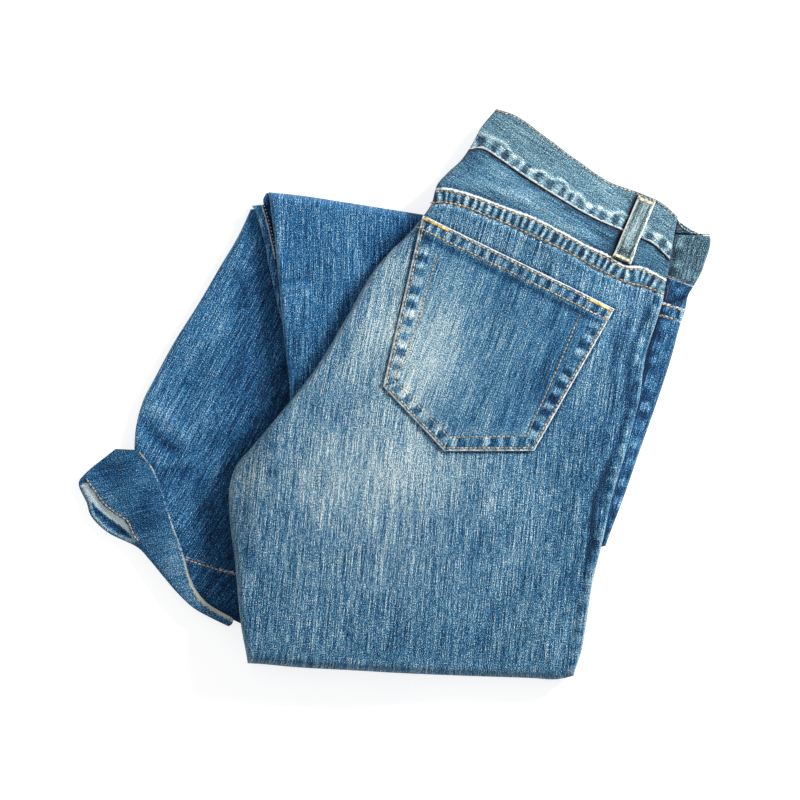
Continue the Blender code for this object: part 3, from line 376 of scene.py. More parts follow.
def hump(x, width, middle=0.0):
    """Bell curve with a height of 1."""
    return np.exp(-(((x - middle) / width) ** 2))


def window(x, start, rise, end, fall):
    """1 between a start and an end, easing to 0 outside them."""
    return smooth((x - start) / rise) * smooth((end - x) / fall)


def lengths(points):
    """Distance along a line to each of its points."""
    return np.append(0.0, np.cumsum(np.linalg.norm(np.diff(points, axis=0), axis=1)))


def shares(points):
    """Share of a line's length at each of its points."""
    steps = np.linalg.norm(np.diff(points, axis=0), axis=1)
    return np.append(0.0, np.cumsum(steps)) / steps.sum()


def read_line(points, distance, at):
    """Points of a line where its distance has some values."""
    return np.stack([np.interp(at, distance, points[:, a]) for a in (0, 1)], axis=-1)


def unit(runs):
    """Vectors with a length of 1."""
    return runs / np.linalg.norm(runs, axis=-1, keepdims=True)


def left_of(run):
    """Vectors turned a quarter turn to the left."""
    return np.column_stack([-run[:, 1], run[:, 0]])


class Curve:
    """Smooth curve through a few points, read at 0 to 1 of its length."""

    def __init__(self, points, knots=None):
        self.points = np.array(points, float)
        self.knots = shares(self.points) if knots is None else knots
        self.slopes = np.gradient(self.points, self.knots, axis=0)

    def __call__(self, t):
        t = np.clip(np.asarray(t, float), 0.0, 1.0)
        k = np.clip(np.searchsorted(self.knots, t, side="right") - 1, 0, len(self.knots) - 2)
        span = self.knots[k + 1] - self.knots[k]
        s = ((t - self.knots[k]) / span)[..., None]
        span = span[..., None]
        return (
            (2 * s**3 - 3 * s**2 + 1) * self.points[k] + (s**3 - 2 * s**2 + s) * span * self.slopes[k]
            + (3 * s**2 - 2 * s**3) * self.points[k + 1] + (s**3 - s**2) * span * self.slopes[k + 1]
        )

    def near(self, point):
        """Where along the curve a point lies."""
        t = np.linspace(0.0, 1.0, 2001)
        return float(t[np.argmin(np.linalg.norm(self(t) - np.array(point), axis=1))])


class Corner:
    """Two or more straight runs, read at 0 to 1 of their length."""

    def __init__(self, points):
        self.points = np.array(points, float)
        self.knots = shares(self.points)

    def __call__(self, t):
        return read_line(self.points, self.knots, np.asarray(t, float))


def part_of(curve, start, end):
    """The stretch of a curve from start to end."""
    return lambda t: curve(start + (end - start) * np.asarray(t, float))


def between(points, first, last):
    """A seam whose ends are moved onto the edges that it runs between."""
    return Curve([tuple(first)] + list(points[1:-1]) + [tuple(last)])


class Patch:
    """Plan of a panel: four edges, blended across."""

    def __init__(self, left, right, bottom, top):
        self.left, self.right, self.bottom, self.top = left, right, bottom, top


def rows_patch(rows, first=(0, 1), second=(2, 3)):
    """Plan of a strip, from a table with a point of each side in every row."""
    table = np.array(rows, float)
    left = Curve(table[:, list(first)])
    right = Curve(table[:, list(second)], left.knots)
    return Patch(left, right, Corner([left(0.0), right(0.0)]), Corner([left(1.0), right(1.0)]))


def outline(patch, count=36):
    """Points all round a patch."""
    t = np.linspace(0.0, 1.0, count, endpoint=False)
    return np.concatenate([
        patch.bottom(t), patch.right(t), patch.top(1.0 - t), patch.left(1.0 - t),
    ])


def inside(points, ring):
    """Signed distance to a closed outline, more than zero inside it."""
    best = np.full(points.shape[:-1], np.inf)
    odd = np.zeros(points.shape[:-1], bool)
    for a, b in zip(ring, np.roll(ring, -1, axis=0)):
        run = b - a
        length = float(run @ run)
        if length < 1e-12:
            continue
        t = np.clip(((points - a) @ run) / length, 0.0, 1.0)[..., None]
        best = np.minimum(best, np.linalg.norm(points - (a + t * run), axis=-1))
        above = (a[1] > points[..., 1]) != (b[1] > points[..., 1])
        rise = b[1] - a[1] if abs(b[1] - a[1]) > 1e-12 else 1e-12
        odd ^= above & (points[..., 0] < a[0] + (points[..., 1] - a[1]) * run[0] / rise)
    return np.where(odd, best, -best)


def along(points, line):
    """Distance along a line of points and signed distance to it, more than zero on its left."""
    line = np.asarray(line, float)
    best = np.full(len(points), np.inf)
    far, side = np.zeros(len(points)), np.zeros(len(points))
    start = 0.0
    for a, b in zip(line[:-1], line[1:]):
        run = b - a
        length = float(np.linalg.norm(run))
        if length < 1e-9:
            continue
        t = np.clip(((points - a) @ run) / length**2, 0.0, 1.0)
        off = points - (a + t[:, None] * run)
        away = np.linalg.norm(off, axis=1)
        better = away < best
        turn = run[0] * (points[:, 1] - a[1]) - run[1] * (points[:, 0] - a[0])
        best = np.where(better, away, best)
        far = np.where(better, start + t * length, far)
        side = np.where(better, np.sign(turn) * away, side)
        start += length
    return far, side


def sampled(curve, count=160):
    return curve(np.linspace(0.0, 1.0, count))


LEFT = Curve(LEFT_EDGE)
RIGHT = Curve([row[:2] for row in SIDE_ROWS])
OUTER = Curve([row[2:] for row in SIDE_ROWS], RIGHT.knots)
FOLD = Curve(FOLD_EDGE)
WAIST = Curve(WAIST_TOP)
LEFT_WAIST, LEFT_YOKE = LEFT.near(WAIST_SEAM[0]), LEFT.near(YOKE_LOW[0])
RIGHT_WAIST, RIGHT_YOKE = RIGHT.near(WAIST_SEAM[-1]), RIGHT.near(YOKE_LOW[-1])
BAND_LINE = between(WAIST_SEAM, LEFT(LEFT_WAIST), RIGHT(RIGHT_WAIST))
YOKE_LINE = between(YOKE_LOW, LEFT(LEFT_YOKE), RIGHT(RIGHT_YOKE))
FELL_LINE = Curve(YOKE_SEAM)

# The same edges and seams as rows of points
SIDE_POINTS = sampled(RIGHT, 120)
LEFT_POINTS, WAIST_POINTS = sampled(LEFT), sampled(WAIST)
BAND_POINTS, YOKE_POINTS, FELL_POINTS = sampled(BAND_LINE), sampled(YOKE_LINE), sampled(FELL_LINE)

HALF = Patch(LEFT, RIGHT, FOLD, WAIST)
PANEL = Patch(part_of(LEFT, 0.0, LEFT_YOKE), part_of(RIGHT, 0.0, RIGHT_YOKE), FOLD, YOKE_LINE)
YOKE = Patch(
    part_of(LEFT, LEFT_YOKE, LEFT_WAIST), part_of(RIGHT, RIGHT_YOKE, RIGHT_WAIST), YOKE_LINE, BAND_LINE
)
BAND = Patch(part_of(LEFT, LEFT_WAIST, 1.0), part_of(RIGHT, RIGHT_WAIST, 1.0), BAND_LINE, WAIST)
MIDDLE = Patch(Curve(MIDDLE_LEFT), Curve(MIDDLE_RIGHT), Curve(MIDDLE_FOLD), Curve(MIDDLE_TOP))
LOWER = Patch(Curve(LOWER_LEFT), Curve(LOWER_RIGHT), Curve(LOWER_HEM), Curve(LOWER_TOP))
STRIP = rows_patch(STRIP_ROWS)
TURNUP = rows_patch(TURNUP_ROWS)
LOOP = rows_patch(LOOP_ROWS)
INSIDE_BAND = rows_patch(INSIDE_ROWS)
OPENING = rows_patch(OPENING_ROWS)
BACK_POCKET = Patch(
    Corner([POCKET["left"], POCKET["top_left"]]), Corner([POCKET["low_right"], POCKET["top_right"]]),
    Corner([POCKET["left"], POCKET["low_left"], POCKET["low_right"]]),
    Corner([POCKET["top_left"], POCKET["top_right"]]),
)
LOWER_RING, MIDDLE_RING, HALF_RING = outline(LOWER), outline(MIDDLE), outline(HALF, 60)


def side_patch(first, last, tuck=1.2):
    """Plan of a stretch of the left half beside the right one, tucked a little under it."""
    a, b = RIGHT.knots[first], RIGHT.knots[last]
    edge, outer = part_of(RIGHT, a, b), part_of(OUTER, a, b)

    def tucked(t):
        across = outer(t) - edge(t)
        return edge(t) - across / np.linalg.norm(across, axis=-1, keepdims=True) * tuck

    return Patch(
        tucked, outer, Corner([tucked(0.0), outer(0.0)]), Corner([tucked(1.0), outer(1.0)])
    )


def sag(points, ring, rise, left=SAG_LEFT, right=SAG_RIGHT):
    """Height that an edge below gives the cloth above it, and how much the cloth bends there."""
    reach = left + (right - left) * smooth((points[..., 0] + 40.0) / 100.0)
    away = inside(points, ring)
    lift = smooth(1.0 + (away + 8.0) / reach)
    return rise * lift, smooth((away + reach + 30.0) / 30.0) * smooth((27.0 - away) / 30.0)


def middle_under(points):
    """Underside of the middle legs."""
    return sag(points, LOWER_RING, LOWER_RISE + LEVEL_GAP, LOWER_SAG_LEFT, LOWER_SAG_RIGHT)[0]


def middle_top(points):
    return middle_under(points) + MIDDLE_RISE


def seat_under(points):
    """Underside of the two halves."""
    return middle_under(points) + sag(points, MIDDLE_RING, MIDDLE_RISE + LEVEL_GAP)[0]


def creases(points, rows, spread=1.0):
    """Height of soft troughs and ridges that fade out at their ends."""
    height = np.zeros(points.shape[:-1])
    for x0, y0, x1, y1, half_width, rise in rows:
        a, run = np.array((x0, y0)), np.array((x1 - x0, y1 - y0))
        length = float(np.linalg.norm(run))
        share = ((points - a) @ run) / length**2
        away = ((points - a) @ np.array([-run[1], run[0]])) / length
        wander = half_width * 0.5 * np.sin(share * 5.0 + x0)
        fade = smooth(share * 3.0 + 0.4) * smooth((1.0 - share) * 3.0 + 0.4)
        height += rise * fade * hump(away, half_width * spread, wander)
    return height


def soft_folds(points):
    """Depth of the largest soft folds."""
    depth = np.zeros(points.shape[:-1])
    for x0, y0, x1, y1, half_width, deep in FOLD_ROWS:
        a, run = np.array((x0, y0)), np.array((x1 - x0, y1 - y0))
        share = ((points - a) @ run) / float(run @ run)
        away = np.linalg.norm(points - (a + np.clip(share, 0.0, 1.0)[..., None] * run), axis=-1)
        fade = smooth(1.0 - np.maximum(-share, share - 1.0) * 3.0) * smooth(share * 4.0 + 1.0)
        depth += deep * fade * hump(away, half_width)
    return depth


def ripple(points, size, height, seed=0.0):
    """Gentle uneven rise and fall."""
    wave = np.array([noise.noise(Vector((x / size, y / size, seed))) for x, y in points])
    return height * wave


def fades(points, rows):
    """Tone of faded and dark areas."""
    tone = np.zeros(points.shape[:-1])
    for x, y, half_width, half_length, lean, strength in rows:
        a = math.radians(lean)
        off = points - np.array((x, y))
        across = off[..., 0] * math.cos(a) + off[..., 1] * math.sin(a)
        length = off[..., 1] * math.cos(a) - off[..., 0] * math.sin(a)
        tone += strength * np.exp(-((across / half_width) ** 2) - (length / half_length) ** 2)
    return tone


def seat_base(points):
    """Upper face of the right half with its largest folds."""
    return seat_under(points) + 2.0 * HALF_RISE - soft_folds(points)


def seat_top(points):
    """Upper face of the right half with all its creases."""
    return seat_base(points) + creases(points, SEAT_CREASES)


def side_top(points):
    """Upper face of the left half where it shows."""
    return seat_under(points) + HALF_RISE


def roll(radius, end=ROLL_END):
    """Rings of a rolled edge: an inset and a share of the way down to the tail for each."""
    turns = [math.radians(end * k / ROLL_RINGS) for k in range(ROLL_RINGS + 1)]
    return [(radius * (1.0 - math.sin(a)), (1.0 - math.cos(a)) / 2.0) for a in turns]


def stacked(plies, base=0.0):
    """Rings of an edge that shows the rounded rims of several plies."""
    count = plies * 6
    return [
        (base + RIM_DEPTH * (1.0 - abs(math.sin(math.pi * plies * k / count)) ** 0.5), k / count)
        for k in range(count + 1)
    ]


def is_flat(edge):
    """A flat edge is given as its inset alone."""
    return isinstance(edge, float)


def edge_at(edge, share):
    """Inset and share of the way to the tail, for a flat or a ringed edge."""
    if is_flat(edge):
        return edge, 0.0
    table = np.array(edge, float)
    at = share * (len(table) - 1)
    return tuple(np.interp(at, np.arange(len(table)), table[:, a]) for a in (0, 1))


def end_direction(curve, end):
    """Direction that leads away from one end of an edge."""
    near = curve(np.array([0.0, 0.004]) if end == 0 else np.array([1.0, 0.996]))
    run = near[1] - near[0]
    return near[0], run / np.linalg.norm(run)


def meet(first, second, first_in, second_in):
    """Where two edges meet once both are moved in, and how far along each that is."""
    (corner, run_a), (_, run_b) = first, second
    turn = run_a[0] * run_b[1] - run_a[1] * run_b[0]
    if abs(turn) < 0.5:
        return None, second_in, first_in
    normal_a = np.array([-run_a[1], run_a[0]]) * np.sign(turn)
    normal_b = np.array([run_b[1], -run_b[0]]) * np.sign(turn)
    offset = np.linalg.solve(np.array([normal_a, normal_b]), np.array([first_in, second_in]))
    return corner + offset, max(offset @ run_a, 0.0), max(offset @ run_b, 0.0)


def offset_run(curve, count, inset, before, after, turn, lines=None):
    """Points along an edge, moved in by its inset and kept clear of the corners."""
    points = curve(np.linspace(0.0, 1.0, 601))
    length = lengths(points)
    part = np.linspace(0.0, 1.0, count + 1) if lines is None else lines
    at = before + (length[-1] - before - after) * part
    run = unit(read_line(points, length, at + 0.8) - read_line(points, length, at - 0.8))
    return read_line(points, length, at) + inset * turn * left_of(run)


# Corners of a piece: side, its end, the edge across it, that edge's end
CORNERS = ((0, 0, 2, 0), (0, 1, 3, 0), (1, 0, 2, 1), (1, 1, 3, 1))


class Cloth:
    """Where each point of a piece lies, from its plan, its faces and its edges' rings."""

    def __init__(self, plan, top, tail, left, right, bottom, top_edge, under=None,
                 left_lines=None, right_lines=None, step=None):
        self.plan, self.top, self.tail, self.under = plan, top, tail, under
        self.edges = (left, right, bottom, top_edge)
        self.left_lines, self.right_lines, self.step = left_lines, right_lines, step

    def outline(self, share, columns, rows):
        """The four edges at one ring, meeting at shared corners."""
        insets = [edge_at(edge, share)[0] for edge in self.edges]
        curves = (self.plan.left, self.plan.right, self.plan.bottom, self.plan.top)
        ends = {}
        for side, end, cross, cross_end in CORNERS:
            corner, first, second = meet(
                end_direction(curves[side], end), end_direction(curves[cross], cross_end),
                insets[side], insets[cross],
            )
            ends[side, end], ends[cross, cross_end] = first, second
            ends[side, end, "corner"] = corner
        counts = (rows, rows, columns, columns)
        lines = (self.left_lines, self.right_lines, None, None)
        runs = [
            offset_run(curves[k], counts[k], insets[k], ends[k, 0], ends[k, 1], turn, lines[k])
            for k, turn in enumerate((-1.0, 1.0, 1.0, -1.0))
        ]
        for side, end, cross, cross_end in CORNERS:
            a, b = (0 if end == 0 else -1), (0 if cross_end == 0 else -1)
            corner = ends[side, end, "corner"]
            if corner is None:
                corner = 0.5 * (runs[side][a] + runs[cross][b])
            runs[side][a] = runs[cross][b] = corner
        return runs, ends

    def sheet_plan(self, share, columns, rows):
        """Every grid point at one ring."""
        main = columns - (len(self.step.lines) if self.step else 0)
        (left, right, bottom, top), ends = self.outline(share, main, rows)
        edge = right
        if self.step:
            bottom_in, top_in = ends[1, 0], ends[1, 1]
            right = self.step.inner(rows, bottom_in, top_in, self.right_lines)
            bottom, top = self.step.fit(bottom, right[0]), self.step.fit(top, right[-1])
        u = np.linspace(0.0, 1.0, main + 1)[:, None, None]
        v = np.linspace(0.0, 1.0, rows + 1)[None, :, None]
        grid = (
            (1 - u) * left[None] + u * right[None] + (1 - v) * bottom[:, None] + v * top[:, None]
            - (1 - v) * ((1 - u) * bottom[0] + u * bottom[-1]) - v * ((1 - u) * top[0] + u * top[-1])
        )
        if self.step:
            past = self.step.outer(rows, bottom_in, top_in, self.right_lines)
            more = [past + (edge - past) * line for line in self.step.lines]
            grid = np.concatenate([grid, np.stack(more)], axis=0)
        return grid

    def place(self, i, j, side, below, columns, rows):
        """Points in mm for arrays of columns, rows and shares of the way down the side."""
        level = np.where(below, 1.0, side).round(6)
        points, share = np.zeros((len(i), 2)), np.zeros(len(i))
        hits = np.stack([i == 0, i == columns, j == 0, j == rows]).astype(float)
        hits *= np.array([[not is_flat(edge)] for edge in self.edges])
        count = np.maximum(hits.sum(axis=0), 1.0)
        for ring in np.unique(level):
            pick = level == ring
            grid = self.sheet_plan(float(ring), columns, rows)
            points[pick] = grid[i[pick], j[pick]]
            for hit, edge in zip(hits, self.edges):
                share[pick] += hit[pick] * edge_at(edge, float(ring))[1] / count[pick]
        upper, tail = self.top(points), self.tail(points, j / rows)
        rim = hits.sum(axis=0) > 0
        z = np.where(rim, upper + share * (tail - upper), upper)
        if self.under:
            z = np.where(below & ~rim, self.under(points), z)
        grid = self.sheet_plan(0.0, columns, rows)
        out = np.zeros((len(i), 2))
        for k, (a, b) in enumerate(((0, 1), (columns, columns - 1), (0, 1), (rows, rows - 1))):
            line = grid[a, j] - grid[b, j] if k < 2 else grid[i, a] - grid[i, b]
            line /= np.maximum(np.linalg.norm(line, axis=1, keepdims=True), 1e-9)
            out += hits[k][:, None] * line
        flat = points + out * np.where(rim, upper - z, 0.0)[:, None]
        return np.column_stack([points, z]), flat


class Step:
    """Where the hidden plies step down to the left half, past the right half's side."""

    lines = (0.0, 0.5, 1.0)
    step_in, step_out = 4.2, 3.8

    def inner(self, rows, bottom, top, lines):
        return offset_run(RIGHT, rows, self.step_in, bottom, top, 1.0, lines)

    def outer(self, rows, bottom, top, lines):
        return offset_run(RIGHT, rows, self.step_out, bottom, top, 1.0, lines)

    def fit(self, run, end):
        """Stretch a run of points so that it ends at the step."""
        part = np.linspace(0.0, 1.0, len(run))[:, None]
        return run + part * (end - run[-1])


def numbered_grid(columns, rows):
    """A grid whose points know their column, their row and their place down the side."""
    bm = bmesh.new()
    bmesh.ops.create_grid(bm, x_segments=columns, y_segments=rows, size=0.5)
    layers = (
        bm.verts.layers.int.new("column"), bm.verts.layers.int.new("row"),
        bm.verts.layers.float.new("side"), bm.verts.layers.int.new("below"),
    )
    for vert in bm.verts:
        vert[layers[0]] = round((vert.co.x + 0.5) * columns)
        vert[layers[1]] = round((vert.co.y + 0.5) * rows)
    return bm, layers


def mesh_of(bm, name):
    """Turn a finished bmesh into a mesh."""
    mesh = bpy.data.meshes.new(name)
    bm.to_mesh(mesh)
    bm.free()
    return mesh


def put(name, data):
    """Add an object to the scene."""
    made = bpy.data.objects.new(name, data)
    bpy.context.scene.collection.objects.link(made)
    return made


def read_layer(mesh, name, kind):
    values = np.zeros(len(mesh.vertices), kind)
    mesh.attributes[name].data.foreach_get("value", values)
    return values


def add_mark(mesh, name, values):
    """Store one number for every point, for a material to read."""
    layer = mesh.attributes.new(name, "FLOAT", "POINT")
    layer.data.foreach_set("value", np.ascontiguousarray(values, np.float32))


def dress(bm, name, cloth, columns, rows, grain, paint, thickness=None):
    """Place a numbered mesh on its cloth, with its grain, tone and wear."""
    mesh = mesh_of(bm, name)
    i, j = read_layer(mesh, "column", np.int32), read_layer(mesh, "row", np.int32)
    side, below = read_layer(mesh, "side", np.float32), read_layer(mesh, "below", np.int32)
    points, flat = cloth.place(i, j, side.astype(float), below == 1, columns, rows)
    places = (points - np.array(MIDDLE_OF_BOX)) * MM
    mesh.vertices.foreach_set("co", places.astype(np.float32).ravel())
    for layer in ("column", "row", "side", "below"):
        mesh.attributes.remove(mesh.attributes[layer])
    mesh.update()
    grain_map(mesh, grain(flat))
    tone, rim = paint(points[:, :2])
    add_mark(mesh, "tone", tone)
    add_mark(mesh, "rim", rim)
    mesh.shade_smooth()
    piece = put(name, mesh)
    if thickness:
        wall = piece.modifiers.new("cloth wall", "SOLIDIFY")
        wall.thickness = thickness * MM
        wall.offset = -1.0
        wall.use_rim = True
    return piece


def grain_map(mesh, flat):
    """UV map that follows the cloth, in mm across and along the warp."""
    layer = mesh.uv_layers.new(name="grain")
    corners = np.zeros(len(mesh.loops), np.int32)
    mesh.loops.foreach_get("vertex_index", corners)
    layer.data.foreach_set("uv", np.ascontiguousarray(flat[corners], np.float32).ravel())


def sheet(name, cloth, columns, rows, rings, grain, paint):
    """A ply of cloth: a grid with rings down its edges, then given its wall."""
    bm, layers = numbered_grid(columns, rows)
    lines = [(layers[0], 0), (layers[0], columns), (layers[1], 0), (layers[1], rows)]
    ringed = [line for line, edge in zip(lines, cloth.edges) if not is_flat(edge)]
    rim = [
        edge for edge in bm.edges if edge.is_boundary
        and any(all(vert[layer] == at for vert in edge.verts) for layer, at in ringed)
    ]
    for k in range(1, rings + 1):
        grown = bmesh.ops.extrude_edge_only(bm, edges=rim)["geom"]
        for vert in (g for g in grown if isinstance(g, bmesh.types.BMVert)):
            vert[layers[2]] = k / rings
        rim = [
            g for g in grown if isinstance(g, bmesh.types.BMEdge) and g.is_boundary
            and all(abs(vert[layers[2]] - k / rings) < 1e-4 for vert in g.verts)
        ]
    bmesh.ops.recalc_face_normals(bm, faces=bm.faces)
    bm.faces.ensure_lookup_table()
    if bm.faces[0].normal.z < 0.0:
        bmesh.ops.reverse_faces(bm, faces=bm.faces)
    return dress(bm, name, cloth, columns, rows, grain, paint, PLY)


def block(name, cloth, columns, rows, rings, grain, paint):
    """A closed piece: a grid, its copy below, and rings down the sides."""
    bm, layers = numbered_grid(columns, rows)
    made = bmesh.ops.extrude_face_region(bm, geom=list(bm.faces), use_keep_orig=True)["geom"]
    for vert in (g for g in made if isinstance(g, bmesh.types.BMVert)):
        vert[layers[2]], vert[layers[3]] = 1.0, 1
        vert.co.z = -1.0
    risers = [edge for edge in bm.edges if edge.verts[0][layers[3]] != edge.verts[1][layers[3]]]
    bmesh.ops.subdivide_edges(bm, edges=risers, cuts=rings - 1, use_grid_fill=True)
    for vert in bm.verts:
        vert[layers[3]] = int(vert[layers[2]] > 0.999)
    bmesh.ops.recalc_face_normals(bm, faces=bm.faces)
    return dress(bm, name, cloth, columns, rows, grain, paint)


def trim(plan, top, wall, **edges):
    """A piece of even thickness that lies on a panel."""
    return Cloth(plan, top, lambda p, v: top(p) - wall, under=lambda p: top(p) - wall, **edges)


def leaning(lean, bend=0.0, low_bend=0.0):
    """Grain that leans to the right by an angle in degrees, and more up and down the page by the bends."""
    a = math.radians(lean)

    def grain(flat):
        x, y = flat[:, 0], flat[:, 1]
        x = x - bend * 0.5 * np.maximum(y + 60.0, 0.0) ** 2 / 100.0
        x = x + low_bend * 0.5 * np.minimum(y + 60.0, 0.0) ** 2 / 100.0
        return np.column_stack([x * math.cos(a) - y * math.sin(a), y * math.cos(a) + x * math.sin(a)])
    return grain


def away_from(points, *lines):
    """Distance to the nearest of several lines."""
    best = np.full(len(points), np.inf)
    for line in lines:
        best = np.minimum(best, np.abs(along(points, line)[1]))
    return best


def roping(points, line, period, near, far, strength, seed=0.0):
    """Light and dark patches between two distances to the left of a seam."""
    distance, side = along(points, line)
    jitter = np.array([noise.noise(Vector((s / (period * 1.7), seed, 0.3))) for s in distance])
    beat = np.sin(2.0 * math.pi * distance / period + 2.6 * jitter)
    size = np.array([0.65 + 0.7 * noise.noise(Vector((s / period, seed, 9.1))) for s in distance])
    window = smooth((side - near) / 0.8 + 0.5) * smooth((far - side) / 0.8 + 0.5)
    rough = np.array([noise.noise(Vector((x / 2.6, y / 2.6, seed))) for x, y in points[:, :2]])
    return strength * (np.clip(beat * 1.6 + rough * 1.5, -0.9, 1.0) - 0.04) * size * window


def flat_floor(points):
    return np.zeros(points.shape[:-1])


def under_ply(top, wall=PLY):
    """Upper face of the hidden plies below a visible ply."""
    def face(points):
        _, low = sag(points, LOWER_RING, 1.0, LOWER_SAG_LEFT, LOWER_SAG_RIGHT)
        _, mid = sag(points, MIDDLE_RING, 1.0)
        return top(points) - wall - CORE_GAP - CORE_SLACK * np.maximum(low, mid)
    return face


def from_side(points):
    """Distance to the side edge of the right half."""
    return away_from(points, SIDE_POINTS)


class Tree:
    """Adds linked nodes to a material or a node group."""

    def __init__(self, tree):
        self.tree = tree

    def add(self, kind, inputs=None, **settings):
        node = self.tree.nodes.new(kind)
        for name, value in settings.items():
            setattr(node, name, value)
        for name, value in (inputs or {}).items():
            if isinstance(value, bpy.types.NodeSocket):
                self.tree.links.new(value, node.inputs[name])
            else:
                node.inputs[name].default_value = value
        return node

    def math(self, operation, *values, clamp=False):
        node = self.add("ShaderNodeMath", dict(enumerate(values)), operation=operation)
        node.use_clamp = clamp
        return node.outputs[0]

    def total(self, *values):
        result = values[0]
        for value in values[1:]:
            result = self.math("ADD", result, value)
        return result

    def yarn(self, grain, across, length, seed, detail, strength):
        """Noise drawn out along the warp, as high and as deep as half its strength."""
        scaled = self.add("ShaderNodeMapping", {
            "Vector": grain, "Location": (seed * 7.3, seed * 3.1, seed),
            "Scale": (1.0 / across, 1.0 / length, 1.0)}, vector_type="POINT").outputs[0]
        noisy = self.add("ShaderNodeTexNoise", {
            "Vector": scaled, "Scale": 1.0, "Detail": detail, "Roughness": 0.55},
            noise_dimensions="2D").outputs[0]
        return self.math("MULTIPLY", self.math("SUBTRACT", noisy, 0.5), strength)

    def mix(self, share, first, second):
        node = self.add("ShaderNodeMix", data_type="RGBA")
        for name, value in (("Factor", share), ("A", first), ("B", second)):
            socket = next(s for s in node.inputs if s.name == name and s.enabled)
            if isinstance(value, bpy.types.NodeSocket):
                self.tree.links.new(value, socket)
            else:
                socket.default_value = value
        return next(s for s in node.outputs if s.enabled)


def new_group(name, inputs, outputs):
    group = bpy.data.node_groups.new(name, "ShaderNodeTree")
    for label, kind, value in inputs:
        item = group.interface.new_socket(name=label, in_out="INPUT", socket_type=kind)
        if value is not None:
            item.default_value = value
    for label, kind in outputs:
        group.interface.new_socket(name=label, in_out="OUTPUT", socket_type=kind)
    tree = Tree(group)
    return group, tree, tree.add("NodeGroupInput").outputs, tree.add("NodeGroupOutput").inputs


# Dye of the cloth by tone: share, then red, green, blue as seen on screen, 0 to 255
WASHED = [
    (0.0, 4, 28, 54), (0.2, 12, 69, 113), (0.4, 40, 109, 152), (0.6, 88, 142, 171),
    (0.8, 155, 187, 197), (1.0, 230, 238, 232),
]
DEEP = [
    (0.0, 2, 22, 48), (0.2, 4, 58, 108), (0.4, 20, 97, 152), (0.6, 58, 135, 185),
    (0.8, 114, 172, 207), (1.0, 214, 232, 238),
]

# Layers of yarn: mm across, mm along the warp, seed, detail, strength
SLUBS = ((0.68, 27.0, 1.0, 1.0, 0.82), (1.3, 46.0, 2.0, 1.0, 0.46), (0.55, 6.0, 3.0, 1.0, 0.75))
FLECKS = ((0.7, 0.85, 4.0, 2.0, 2.05), (6.0, 0.7, 5.0, 1.0, 0.4))
CLOUDS = (9.0, 40.0, 6.0, 2.0, 0.26)
FRAY = (2.2, 2.2, 11.0, 3.0, 2.2)
TWILL, TWILL_STRENGTH = (4.1, 2.9, 0.0), 0.07


def screen(red, green, blue):
    """A colour as seen on screen, made linear."""
    return tuple(
        c / 12.92 if c <= 0.04045 else ((c + 0.055) / 1.055) ** 2.4
        for c in (red / 255.0, green / 255.0, blue / 255.0)
    ) + (1.0,)


def ramp(tree, share, stops):
    node = tree.add("ShaderNodeValToRGB", {"Fac": share})
    dots = node.color_ramp.elements
    while len(dots) < len(stops):
        dots.new(0.5)
    for dot, (at, red, green, blue) in zip(dots, stops):
        dot.position, dot.color = at, screen(red, green, blue)
    return node.outputs[0]


def denim_group():
    """Colour and height of slubbed twill, from its grain and tone."""
    group, tree, given, made = new_group(
        "Denim cloth",
        [("Grain", "NodeSocketVector", None), ("Tone", "NodeSocketFloat", 0.4),
         ("Streaks", "NodeSocketFloat", 1.0), ("Speckle", "NodeSocketFloat", 1.0),
         ("Wash", "NodeSocketFloat", 1.0)],
        [("Colour", "NodeSocketColor"), ("Height", "NodeSocketFloat")],
    )
    grain = given["Grain"]
    slubs = tree.total(*[tree.yarn(grain, *layer) for layer in SLUBS])
    twill = tree.add("ShaderNodeVectorMath", {0: grain, 1: TWILL}, operation="DOT_PRODUCT")
    fleck = tree.total(
        tree.math("MULTIPLY", tree.math("SINE", twill.outputs["Value"]), TWILL_STRENGTH),
        *[tree.yarn(grain, *layer) for layer in FLECKS],
    )
    cloudy = tree.yarn(grain, *CLOUDS)
    height = tree.total(
        tree.math("MULTIPLY", slubs, given["Streaks"]), tree.math("MULTIPLY", fleck, given["Speckle"])
    )
    share = tree.total(given["Tone"], height, cloudy)
    washed, deep = ramp(tree, share, WASHED), ramp(tree, share, DEEP)
    tree.tree.links.new(tree.mix(given["Wash"], deep, washed), made["Colour"])
    tree.tree.links.new(height, made["Height"])
    return group


def wear_group():
    """Mask of bare yarn along an edge."""
    group, tree, given, made = new_group(
        "Worn edge",
        [("Grain", "NodeSocketVector", None), ("Distance", "NodeSocketFloat", 9.0),
         ("Width", "NodeSocketFloat", 1.0)],
        [("Mask", "NodeSocketFloat")],
    )
    reach = tree.math("ADD", tree.yarn(given["Grain"], *FRAY), 1.0)
    reach = tree.math("MULTIPLY", given["Width"], reach)
    mask = tree.math("DIVIDE", tree.math("SUBTRACT", reach, given["Distance"]), 0.55, clamp=True)
    tree.tree.links.new(mask, made["Mask"])
    return group


def group_named(name, make):
    return bpy.data.node_groups.get(name) or make()


def new_material(name, values):
    """A material with its tree and its surface, with some inputs set."""
    material = bpy.data.materials.new(name)
    material.use_nodes = True
    surface = material.node_tree.nodes["Principled BSDF"]
    for label, value in values.items():
        surface.inputs[label].default_value = value
    return material, Tree(material.node_tree), surface.inputs


def opaque(colour):
    return tuple(colour) + (1.0,)


